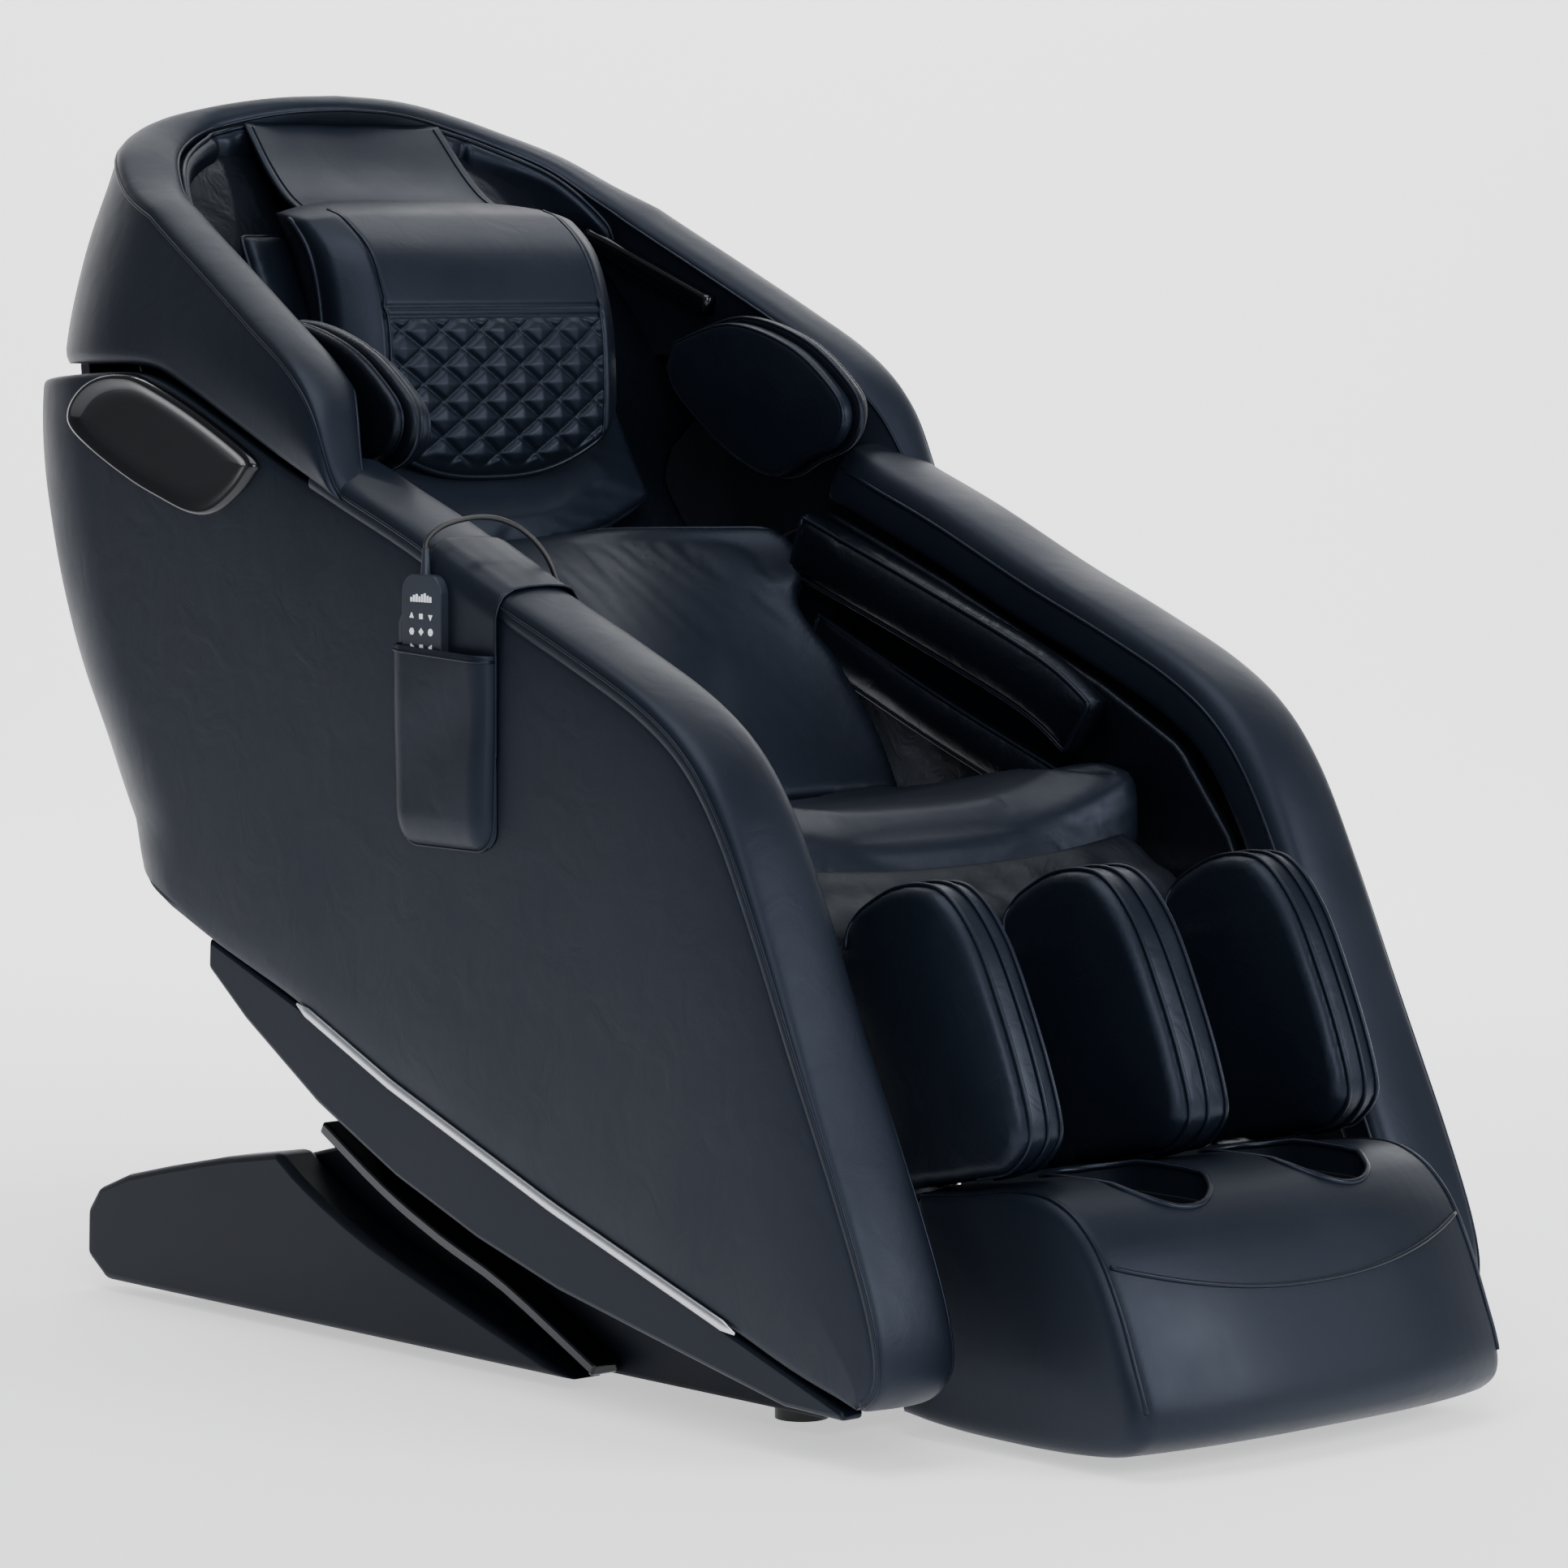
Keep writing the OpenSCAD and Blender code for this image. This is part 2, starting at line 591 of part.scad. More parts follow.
handset_y = 43 * ky;
handset_low = pocket_rim - 51;
handset_x = half + leather + 0.5;
relief_length = 24;
module handset_case() {
    color(dark) mirror([1, 0, 0]) translate([handset_x, handset_y, 0]) rotate([90, 0, 90])
        linear_extrude(handset_thickness - 0.6) hull() {
            for (s = [-1, 1]) translate([s * (handset_width / 2 - 12), handset_low + 12]) circle(12);
            for (s = [-1, 1]) translate([s * (handset_width / 2 - 18),
                handset_low + handset_length - 18]) circle(18);
        }
    color(dark) mirror([1, 0, 0])
        translate([handset_x + 5.7, handset_y, handset_low + handset_length - 0.5]) cylinder(h = relief_length, r1 = 4.8, r2 = 3.2);
}

screen_x = handset_x + handset_thickness - 0.6;
module handset_screen() {
    color("white") mirror([1, 0, 0]) translate([screen_x, handset_y - 20,
        handset_low + handset_length - 34]) cube([0.5, 40, 13]);
}

module handset_keys() {
    color("white") mirror([1, 0, 0]) for (r = [0:2], c = [-1:1])
        translate([screen_x, handset_y + c * 15, handset_low + handset_length - 50 - r * 16])
            rotate([0, 90, 0]) cylinder(h = 0.5, r = 4);
}

// Lead from the handset over the arm to the gland on the arm's inner side
cord_route = [[-387.8, 43, 764.5], [-387.6, 42.9, 768.5], [-385.5, 41.8, 773.5], [-380, 39.2, 779.5],
    [-371, 34.8, 785.5], [-357, 28, 790], [-342, 20.8, 792], [-326.5, 13.2, 790], [-311.5, 5.8, 783],
    [-299, 0, 772.5], [-289.5, -4.8, 760], [-283, -8.2, 747], [-278.5, -10.4, 733],
    [-275.3, -11.8, 720], [-274.5, -12, 712], [-274.5, -12, 706]];
gland_base = cord_route[len(cord_route) - 1];
module cord_gland() {
    color(dark) translate([10.5 - band_in, gland_base[1] * ky, gland_base[2] * kz]) union() {
        translate([0, 0, -16]) cylinder(h = 16, r = 6);
        translate([-10.5, -6, -16]) cube([11, 12, 12]);
    }
}

cord_sides = 8;
module handset_cord() {
    route = [for (p = cord_route) [p[0] * half / 380, p[1] * ky, p[2] * kz]];
    path = spline(route, 3);
    n = len(path);
    function frame_at(i) = let (t = i == 0 ? [0, 0, 1] : i == n - 1 ? [0, 0, -1]
        : unit(path[i + 1] - path[i - 1]),
        a = unit(cross(t, [0, 1, 0.2])), b = cross(t, a)) [a, b];
    rings = [for (i = [0:n - 1], k = [0:cord_sides - 1]) let (f = frame_at(i),
        a = 360 * k / cord_sides) path[i] + cord_diameter / 2 * (cos(a) * f[0] + sin(a) * f[1])];
    walls = [for (i = [0:n - 2], k = [0:cord_sides - 1]) let (j = (k + 1) % cord_sides)
        [i * cord_sides + k, (i + 1) * cord_sides + k, (i + 1) * cord_sides + j, i * cord_sides + j]];
    color(dark) polyhedron(points = rings, faces = concat(walls,
        [[for (k = [0:cord_sides - 1]) k]],
        [[for (k = [cord_sides - 1:-1:0]) (n - 1) * cord_sides + k]]), convexity = 6);
}

// ---- Leg unit ------------------------------------------------------------------------------

leg_dir = unit([-0.42 * ky, -0.91 * kz]);
leg_out = [leg_dir[1], -leg_dir[0]];
// A place in the leg unit: along it from the leg shaft, and forward of its frame
function leg_at(a, f) = leg_axis + a * leg_dir + f * leg_out;
slide_x = leg_half - 81;

// One slide rod down the leg, or the bore for it
module slide_rod(gap, more) {
    p = leg_at(172, 22);
    translate([slide_x, p[0], p[1]]) rotate([atan2(leg_dir[1], leg_dir[0]) - 90, 0, 0])
        cylinder(h = 228 + more, r = 6 + gap);
}

module calf_frame() {
    color(steel) union() {
        for (s = [-1, 1]) on_side(s) difference() {
            union() {
                across([leg_at(0, -lug_radius), leg_at(0, lug_radius), leg_at(46, 14), leg_at(60, -6)],
                    leg_half - 32, leg_half - 20);
                rod(leg_axis, lug_radius, leg_half - 32, leg_half - 20);
            }
            rod(leg_axis, shaft_radius + running_gap, leg_half - 33, leg_half - 19);
        }
        across([leg_at(40, -6), leg_at(40, 14), leg_at(236, 14), leg_at(236, -6)],
            -leg_half + 4, leg_half - 4);
        // Sockets of the slide rods
        for (s = [-1, 1]) on_side(s) difference() {
            across([leg_at(172, 13), leg_at(172, 34), leg_at(234, 34), leg_at(234, 13)],
                slide_x - 13, slide_x + 13);
            slide_rod(0.02, 0);
        }
    }
}

module calf_fin(place) {
    outline = concat([leg_at(46, 16), leg_at(10, 44)],
        spline([leg_at(-6, 90), leg_at(-6, 140), leg_at(22, 186), leg_at(90, 200), leg_at(200, 203),
            leg_at(256, 190), leg_at(258, 150)], 3), [leg_at(236, 90), leg_at(228, 16)]);
    width = place == 0 ? fin_width + 12 : fin_width;
    mid = place * (leg_half - fin_width / 2);
    color(navy) across(outline, mid - width / 2, mid + width / 2);
}

// Upholstered box around the feet, with two wells open at the top
well_x = 100;
module foot_box() {
    outline = all_at([[-412, 18], [-470, 12], [-640, 14], [-722, 26], [-735, 40], [-728, 70],
        [-704, 140], [-680, 190], [-654, 215], [-618, 232], [-586, 238], [-500, 226], [-432, 222]]);
    color(navy) difference() {
        across(outline, -leg_half, leg_half);
        for (s = [-1, 1]) translate([s * well_x, -560 * ky, 60 * kz]) hull() {
            for (d = [-34, 26]) translate([0, d * ky, 0]) cylinder(h = 200, r = well_radius, $fn = 32);
        }
        for (s = [-1, 1]) on_side(s) slide_rod(2, 4);
    }
}

roller_rows = [-590 * ky, -530 * ky];
roller_z = 89 * kz;
module foot_well_linings() {
    color(dark) for (s = [-1, 1]) difference() {
        translate([s * well_x, -560 * ky, 60.5 * kz]) hull() for (d = [-34, 26])
            translate([0, d * ky, 0]) cylinder(h = 150 * kz, r = well_radius - 0.6, $fn = 32);
        translate([s * well_x, -560 * ky, 60.5 * kz]) hull() for (d = [-34, 26])
            translate([0, d * ky, 36]) cylinder(h = 200, r = well_radius - 6, $fn = 32);
        for (y = roller_rows) {
            rod([y, roller_z], foot_roller_radius + 2, s * well_x - 32, s * well_x + 32);
            rod([y, roller_z], 4.02, s * well_x - 38.1, s * well_x + 38.1);
        }
    }
}

module foot_rollers() {
    color(dark) for (s = [-1, 1], y = roller_rows) union() {
        rod([y, roller_z], foot_roller_radius, s * well_x - 30, s * well_x + 30);
        rod([y, roller_z], 4, s * well_x - 38, s * well_x + 38);
    }
}

module foot_slide_rods() {
    color(steel) for (s = [-1, 1]) on_side(s) slide_rod(0, 0);
}

base_frame();
base_shroud();
base_cover(1);  // base_cover_left
base_cover(-1);  // base_cover_right
glide_rails();
base_feet();
power_inlet();
power_switch();
tilt_shaft();
transport_wheels();
seat_frame();
seat_cushion();
seat_apron();
recline_shaft();
leg_shaft();
arm_pins();
back_frame();
back_shell();
hood_shell();
hood_corner_pads();
wing_trim_bars();
shoulder_airbag(1);  // shoulder_airbag_left
shoulder_airbag(-1);  // shoulder_airbag_right
upper_back_pad();
lumbar_pad();
pillow_flap();
pillow();
massage_carriage();
massage_arms();
massage_rollers();
arm_panel(1);  // arm_panel_left
arm_panel(-1);  // arm_panel_right
arm_band(1);  // arm_band_left
arm_band(-1);  // arm_band_right
arm_lining(1);  // arm_lining_left
arm_lining(-1);  // arm_lining_right
forearm_airbag(1);  // forearm_airbag_left
forearm_airbag(-1);  // forearm_airbag_right
hand_airbag(1);  // hand_airbag_left
hand_airbag(-1);  // hand_airbag_right
arm_trim(1);  // arm_trim_left
arm_trim(-1);  // arm_trim_right
light_strip(1);  // light_strip_left
light_strip(-1);  // light_strip_right
vent_cover(1);  // vent_cover_left
vent_cover(-1);  // vent_cover_right
handset_pocket();
cord_gland();
calf_frame();
calf_fin(1);  // calf_fin_left
calf_fin(0);  // calf_fin_middle
calf_fin(-1);  // calf_fin_right
foot_box();
foot_well_linings();
foot_rollers();
foot_slide_rods();
handset_case();
handset_screen();
handset_keys();
handset_cord();
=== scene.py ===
import json
import math

import bmesh
import bpy
import numpy as np
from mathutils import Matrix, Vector
from mathutils.bvhtree import BVHTree

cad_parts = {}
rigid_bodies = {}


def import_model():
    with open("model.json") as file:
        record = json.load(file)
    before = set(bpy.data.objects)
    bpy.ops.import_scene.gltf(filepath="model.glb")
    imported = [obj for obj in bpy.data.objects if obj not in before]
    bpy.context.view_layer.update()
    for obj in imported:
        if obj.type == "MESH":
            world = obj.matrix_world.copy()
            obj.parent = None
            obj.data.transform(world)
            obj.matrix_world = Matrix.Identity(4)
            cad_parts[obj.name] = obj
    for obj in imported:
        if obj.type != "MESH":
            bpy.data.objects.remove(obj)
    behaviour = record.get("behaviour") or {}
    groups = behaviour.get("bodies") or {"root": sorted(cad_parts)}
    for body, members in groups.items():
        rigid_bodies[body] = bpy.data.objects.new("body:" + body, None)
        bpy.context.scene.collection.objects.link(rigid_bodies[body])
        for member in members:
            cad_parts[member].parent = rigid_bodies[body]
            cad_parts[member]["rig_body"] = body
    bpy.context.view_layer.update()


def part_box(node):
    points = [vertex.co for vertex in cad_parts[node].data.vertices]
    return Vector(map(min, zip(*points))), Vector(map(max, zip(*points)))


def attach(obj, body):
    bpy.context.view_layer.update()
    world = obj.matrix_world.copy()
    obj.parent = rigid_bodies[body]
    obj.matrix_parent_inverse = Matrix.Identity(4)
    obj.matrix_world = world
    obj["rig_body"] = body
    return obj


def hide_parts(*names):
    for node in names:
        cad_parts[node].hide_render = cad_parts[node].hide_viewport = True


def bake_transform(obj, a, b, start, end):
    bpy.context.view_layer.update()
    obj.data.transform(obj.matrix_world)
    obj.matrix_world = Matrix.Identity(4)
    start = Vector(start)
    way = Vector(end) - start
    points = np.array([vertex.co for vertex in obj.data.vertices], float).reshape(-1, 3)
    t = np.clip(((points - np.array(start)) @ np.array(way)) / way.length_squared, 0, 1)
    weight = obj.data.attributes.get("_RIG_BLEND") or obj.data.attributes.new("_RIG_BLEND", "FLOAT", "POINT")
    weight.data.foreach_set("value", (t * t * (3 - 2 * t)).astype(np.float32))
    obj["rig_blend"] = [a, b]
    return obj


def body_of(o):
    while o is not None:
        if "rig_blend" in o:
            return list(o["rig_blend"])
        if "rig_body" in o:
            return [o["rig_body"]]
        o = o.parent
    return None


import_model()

MM = 0.001

# ---- Where the chair is seen from -----------------------------------------------------
# A long lens from the sitter's right, a little above the seat, so the near side panel,
# the hood's scoop and the foot box all show.
view_turn = math.radians(-42.0)
view_rise = math.radians(5.1)
view_reach = 5.606
look_at = np.array([0.0, -0.010, 0.531])
view_back = np.array([math.sin(view_turn) * math.cos(view_rise),
                      -math.cos(view_turn) * math.cos(view_rise), math.sin(view_rise)])
camera = bpy.data.objects.new("camera", bpy.data.cameras.new("camera"))
bpy.context.scene.collection.objects.link(camera)
camera.location = look_at + view_back * view_reach
camera.rotation_euler = (math.pi / 2 - view_rise, 0.0, view_turn)
camera.data.sensor_width = 36.0
camera.data.lens = 136.4
camera.data.clip_end = 60.0
bpy.context.scene.camera = camera


def hex_linear(code):
    """An sRGB hex colour as linear red, green, blue and alpha, by the sRGB curve."""
    parts = np.array([int(code[i:i + 2], 16) for i in (1, 3, 5)]) / 255.0
    low = parts / 12.92
    high = ((parts + 0.055) / 1.055) ** 2.4
    return (*np.where(parts <= 0.04045, low, high).tolist(), 1.0)


def add_node(material, kind, settings=None, links=None, out=0):
    """Adds one shader node, sets its sockets by name or number and links inputs to outputs."""
    tree = material.node_tree
    node = tree.nodes.new(kind)
    for key, value in (settings or {}).items():
        if isinstance(key, str) and hasattr(node, key):
            setattr(node, key, value)
        else:
            node.inputs[key].default_value = value
    for key, source in (links or {}).items():
        tree.links.new(source, node.inputs[key])
    return node.outputs[out] if len(node.outputs) else node


def new_material(name):
    """An empty node material and nothing in it but its output."""
    material = bpy.data.materials.new(name)
    material.use_nodes = True
    material.node_tree.nodes.clear()
    return material


def give_surface(material, shader):
    """Closes a material: its shader goes to the output."""
    add_node(material, "ShaderNodeOutputMaterial", links={"Surface": shader})
    return material


# ---- Floor, backdrop and light -----------------------------------------------------------
# A pale seamless sweep of backlit paper under and behind the chair, one broad soft
# light above, two weaker ones from the left and the front, and an even pale sky.
def plain_mesh(name, points, faces, material, smooth=True):
    """A mesh object at the origin from arrays of points and faces, all faces smooth or flat."""
    mesh = bpy.data.meshes.new(name)
    face_list = faces if isinstance(faces, list) else np.asarray(faces).tolist()
    mesh.from_pydata(np.asarray(points, float).tolist(), [], face_list)
    mesh.update()
    if smooth:
        mesh.polygons.foreach_set("use_smooth", [True] * len(mesh.polygons))
    mesh.materials.append(material)
    piece = bpy.data.objects.new(name, mesh)
    bpy.context.scene.collection.objects.link(piece)
    return piece


pale_paper = new_material("pale_paper")
paper_tone = add_node(pale_paper, "ShaderNodeTexNoise", {"Scale": 3.0, "Detail": 2.0})
paper_colour = add_node(pale_paper, "ShaderNodeMix", {"data_type": "RGBA", 6: hex_linear("#f4f4f5"),
                                                      7: hex_linear("#f7f7f8")}, {0: paper_tone}, out=2)
paper_shader = add_node(pale_paper, "ShaderNodeBsdfPrincipled", {"Roughness": 0.9, "Emission Strength": 0.78},
                        {"Base Color": paper_colour, "Emission Color": paper_colour})
give_surface(pale_paper, paper_shader)
sweep_turn = np.linspace(0.0, math.pi / 2, 12)
sweep_bend = np.c_[5.0 + 2.0 * np.sin(sweep_turn), 2.0 - 2.0 * np.cos(sweep_turn)]
sweep_line = np.concatenate([[[-9.0, 0.0]], sweep_bend, [[7.0, 7.0]]])
sweep_side = np.array([np.cos(view_turn), np.sin(view_turn), 0.0])
sweep_away = np.array([-np.sin(view_turn), np.cos(view_turn), 0.0])
sweep_middle = sweep_line[:, :1] * sweep_away + sweep_line[:, 1:] * [0, 0, 1.0]
sweep_points = np.concatenate([sweep_middle - 9.0 * sweep_side, sweep_middle + 9.0 * sweep_side])
sweep_step = np.arange(len(sweep_line) - 1)[:, None]
sweep_faces = sweep_step + [0, 1, len(sweep_line) + 1, len(sweep_line)]
floor = plain_mesh("floor", sweep_points, sweep_faces, pale_paper)


def soft_light(name, place, target, width, height, watts):
    """A broad area lamp at a place that faces a target."""
    lamp = bpy.data.objects.new(name, bpy.data.lights.new(name, "AREA"))
    lamp.data.shape = "RECTANGLE"
    lamp.data.size, lamp.data.size_y, lamp.data.energy = width, height, watts
    bpy.context.scene.collection.objects.link(lamp)
    away = np.array(place, float) - np.array(target, float)
    lamp.location = place
    lamp.rotation_euler = (math.atan2(math.hypot(away[0], away[1]), away[2]), 0.0,
                           math.atan2(away[0], -away[1]))
    return lamp


soft_light("top_light", (-0.8, -0.7, 3.8), (0.0, 0.0, 0.5), 2.8, 2.8, 100.0)
soft_light("left_light", (-2.5, -3.4, 2.0), (0.0, 0.0, 0.6), 1.6, 2.2, 85.0)
soft_light("front_light", (1.6, -4.2, 2.0), (0.0, 0.0, 0.5), 2.2, 1.8, 150.0)
soft_light("backdrop_light", (1.7, 1.9, 4.4), (4.2, 4.7, 1.0), 5.0, 1.6, 420.0)
sky = bpy.data.worlds.new("sky")
sky.use_nodes = True
sky.node_tree.nodes["Background"].inputs[0].default_value = hex_linear("#f2f3f6")
sky.node_tree.nodes["Background"].inputs[1].default_value = 0.28
bpy.context.scene.world = sky

# ---- Handset lead ----------------------------------------------------------------------------
# A round black lead of soft PVC, 5 mm across. It leaves the handset's strain relief, arches
# over the right arm and goes down into the gland on the arm's inner side.


def spline(points, steps):
    """Smooth curve through points: on each span, the cubic whose end slopes are half the
    difference of the neighbours, so it passes through every point."""
    p = np.asarray(points, float)
    q = np.concatenate([p[:1], p, p[-1:]])
    a, b, c, d = q[:-3, None], q[1:-2, None], q[2:-1, None], q[3:, None]
    t = (np.arange(steps) / steps)[None, :, None]
    curve = (2 * b + (c - a) * t + (2 * a - 5 * b + 4 * c - d) * t**2 + (3 * b - a - 3 * c + d) * t**3) / 2
    return np.concatenate([curve.reshape(-1, p.shape[1]), p[-1:]])


def unit(v):
    """Vectors divided by their lengths."""
    v = np.asarray(v, float)
    return v / np.maximum(np.linalg.norm(v, axis=-1, keepdims=True), 1e-12)


def grid_faces(rows, columns, round_rows=False, round_columns=False):
    """Quads of a grid whose points are numbered row by row, closed round where asked."""
    r = np.arange(rows if round_rows else rows - 1)[:, None]
    c = np.arange(columns if round_columns else columns - 1)[None, :]
    r1, c1 = (r + 1) % rows, (c + 1) % columns
    corners = [r * columns + c, r * columns + c1, r1 * columns + c1, r1 * columns + c]
    return np.stack(corners, -1).reshape(-1, 4)


def carried_ring(path, ring, up):
    """A closed ring of (side, up) offsets carried along a path: at each path point the side
    is the cross product of the direction with a fixed up vector, and the offsets are added."""
    path = np.asarray(path, float)
    along = unit(np.gradient(path, axis=0))
    side = unit(np.cross(along, up))
    rise = np.cross(side, along)
    ring = np.asarray(ring, float)
    if ring.ndim == 2:
        ring = np.broadcast_to(ring, (len(path), *ring.shape))
    return path[:, None] + ring[..., :1] * side[:, None] + ring[..., 1:] * rise[:, None]


def capped(points, rings, count):
    """Faces of a tube of rings with both ends closed by one flat face each."""
    walls = grid_faces(rings, count, round_columns=True).tolist()
    return walls + [list(range(count))[::-1], list(range((rings - 1) * count, rings * count))]


def outward(piece):
    """Turns a closed mesh's faces to point outwards."""
    work = bmesh.new()
    work.from_mesh(piece.data)
    bmesh.ops.recalc_face_normals(work, faces=work.faces)
    work.to_mesh(piece.data)
    work.free()
    return piece


def cord_piece(name, path, radius, material, up=(0.1, 0.2, 1.0), sides=8):
    """A round tube: a circle of that radius carried along the path, closed at its ends."""
    turn = np.arange(sides) * 2 * math.pi / sides
    points = carried_ring(path, radius * np.c_[np.cos(turn), np.sin(turn)], up)
    return outward(plain_mesh(name, points.reshape(-1, 3), capped(points, len(path), sides), material))


def soft_pvc():
    """Soft PVC: satin black, with faint unevenness from the extruder that breaks the gloss."""
    material = new_material("soft_pvc_black")
    place = add_node(material, "ShaderNodeTexCoord", out=3)
    uneven = add_node(material, "ShaderNodeTexNoise", {"Scale": 240.0, "Detail": 3.0}, {"Vector": place})
    bump = add_node(material, "ShaderNodeBump", {"Strength": 0.15, "Distance": 0.0004}, {"Height": uneven})
    tone = add_node(material, "ShaderNodeMix", {"data_type": "RGBA", 6: hex_linear("#111215"),
                                                7: hex_linear("#17191d")}, {0: uneven}, out=2)
    return give_surface(material, add_node(material, "ShaderNodeBsdfPrincipled",
                                           {"Roughness": 0.42, "Specular IOR Level": 0.45},
                                           {"Base Color": tone, "Normal": bump}))


pvc = soft_pvc()
lead_route = [(-387.8, 43, 764.5), (-387.6, 42.9, 768.5), (-385.5, 41.8, 773.5), (-380, 39.2, 779.5),
              (-371, 34.8, 785.5), (-357, 28, 790), (-342, 20.8, 792), (-326.5, 13.2, 790),
              (-311.5, 5.8, 783), (-299, 0, 772.5), (-289.5, -4.8, 760), (-283, -8.2, 747),
              (-278.5, -10.4, 733), (-275.3, -11.8, 720), (-274.5, -12, 712), (-274.5, -12, 706)]
lead_path = spline(np.array(lead_route) * MM, 6)
lead_radius = 2.5 * MM
lead = cord_piece("handset_lead", lead_path, lead_radius, pvc, up=(0.0, 1.0, 0.2), sides=12)
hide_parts("handset_cord")
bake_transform(lead, "handset", "arm_right", start=(-0.387, 0.042, 0.772), end=(-0.326, 0.013, 0.790))

# ---- Base ------------------------------------------------------------------------------------
# Satin black moulded covers over a painted steel frame. Each cover is its exact solid with
# the corners eased, and fine moulding texture in the material.


def moulded(name, light, dark, rough, coat=0.0):
    """Moulded ABS: two close tones by a slow noise, fine texture of about 1 mm from a fast one,
    gloss that varies a little over the surface, and a clear coat on the glossy ones."""
    material = new_material(name)
    place = add_node(material, "ShaderNodeTexCoord", out=3)
    slow = add_node(material, "ShaderNodeTexNoise", {"Scale": 5.0, "Detail": 4.0}, {"Vector": place})
    fast = add_node(material, "ShaderNodeTexNoise", {"Scale": 900.0, "Detail": 1.0}, {"Vector": place})
    tone = add_node(material, "ShaderNodeMix", {"data_type": "RGBA", 6: hex_linear(dark),
                                                7: hex_linear(light)}, {0: slow}, out=2)
    gloss = add_node(material, "ShaderNodeMapRange", {3: rough - 0.05, 4: rough + 0.07}, {0: slow})
    bump = add_node(material, "ShaderNodeBump", {"Strength": 0.12, "Distance": 0.0002}, {"Height": fast})
    sheen = {"Coat Weight": coat, "Coat Roughness": 0.12,
             "Specular IOR Level": 0.22, "Specular Tint": hex_linear("#d3def4")}
    return give_surface(material, add_node(material, "ShaderNodeBsdfPrincipled", sheen,
                                           {"Base Color": tone, "Roughness": gloss, "Normal": bump}))


def coated(material, *nodes):
    """Gives the CAD nodes that stay in view a real material in place of their flat one."""
    for node in nodes:
        data = bpy.data.objects[node].data
        data.materials.clear()
        data.materials.append(material)


def eased(name, node, width, material, steps=3, angle=28):
    """A copy of a node's solid with its sharp edges rounded by a bevel of that width; it rides
    on the node's own body."""
    mesh = bpy.data.objects[node].data.copy()
    mesh.name = name
    work = bmesh.new()
    work.from_mesh(mesh)
    bmesh.ops.remove_doubles(work, verts=work.verts, dist=0.00002)
    bmesh.ops.dissolve_limit(work, angle_limit=math.radians(1.0), verts=work.verts, edges=work.edges)
    work.to_mesh(mesh)
    work.free()
    mesh.materials.clear()
    mesh.materials.append(material)
    mesh.polygons.foreach_set("material_index", [0] * len(mesh.polygons))
    piece = bpy.data.objects.new(name, mesh)
    bpy.context.scene.collection.objects.link(piece)
    ease = piece.modifiers.new("ease", "BEVEL")
    ease.width, ease.segments, ease.limit_method = width, steps, "ANGLE"
    ease.angle_limit, ease.use_clamp_overlap = math.radians(angle), True
    mesh.polygons.foreach_set("use_smooth", [True] * len(mesh.polygons))
    mesh.set_sharp_from_angle(angle=math.radians(34))
    even = piece.modifiers.new("even", "WEIGHTED_NORMAL")
    even.keep_sharp = True
    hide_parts(node)
    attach(piece, body_of(bpy.data.objects[node])[0])
    return piece


satin_black = moulded("moulded_satin_abs", "#0c121c", "#0a0f17", 0.42)
gloss_black = moulded("moulded_gloss_abs", "#08090d", "#06070a", 0.18, 0.5)
base_black = moulded("moulded_textured_abs", "#070b12", "#05080e", 0.5)
painted_steel = moulded("powder_coated_steel", "#26282c", "#1f2125", 0.5)
for side_name in ("left", "right"):
    eased("cover_" + side_name, "base_cover_" + side_name, 0.007, base_black, 4)
eased("shroud", "base_shroud", 0.004, base_black)
eased("rails", "glide_rails", 0.003, gloss_black)
coated(pvc, "base_feet", "transport_wheels", "cord_gland", "massage_rollers", "foot_rollers")
coated(painted_steel, "base_frame", "seat_frame", "back_frame", "calf_frame", "massage_carriage")
coated(satin_black, "power_switch", "massage_arms")


def brushed(name, tone, rough, grain=(4.0, 600.0, 600.0)):
    """Brushed metal: noise stretched along X varies the gloss and scratches the surface."""
    material = new_material(name)
    place = add_node(material, "ShaderNodeTexCoord", out=3)
    along = add_node(material, "ShaderNodeMapping", {"Scale": grain}, {"Vector": place})
    lines = add_node(material, "ShaderNodeTexNoise", {"Scale": 1.0, "Detail": 3.0}, {"Vector": along})
    gloss = add_node(material, "ShaderNodeMapRange", {3: rough - 0.08, 4: rough + 0.1}, {0: lines})
    bump = add_node(material, "ShaderNodeBump", {"Strength": 0.1, "Distance": 0.0001}, {"Height": lines})
    return give_surface(material, add_node(material, "ShaderNodeBsdfPrincipled",
                                           {"Base Color": hex_linear(tone), "Metallic": 1.0},
                                           {"Roughness": gloss, "Normal": bump}))


ground_steel = brushed("ground_steel", "#b4b6ba", 0.3)
coated(ground_steel, "tilt_shaft", "recline_shaft", "leg_shaft", "arm_pins", "foot_slide_rods")
eased("inlet", "power_inlet", 0.0008, satin_black, 2)
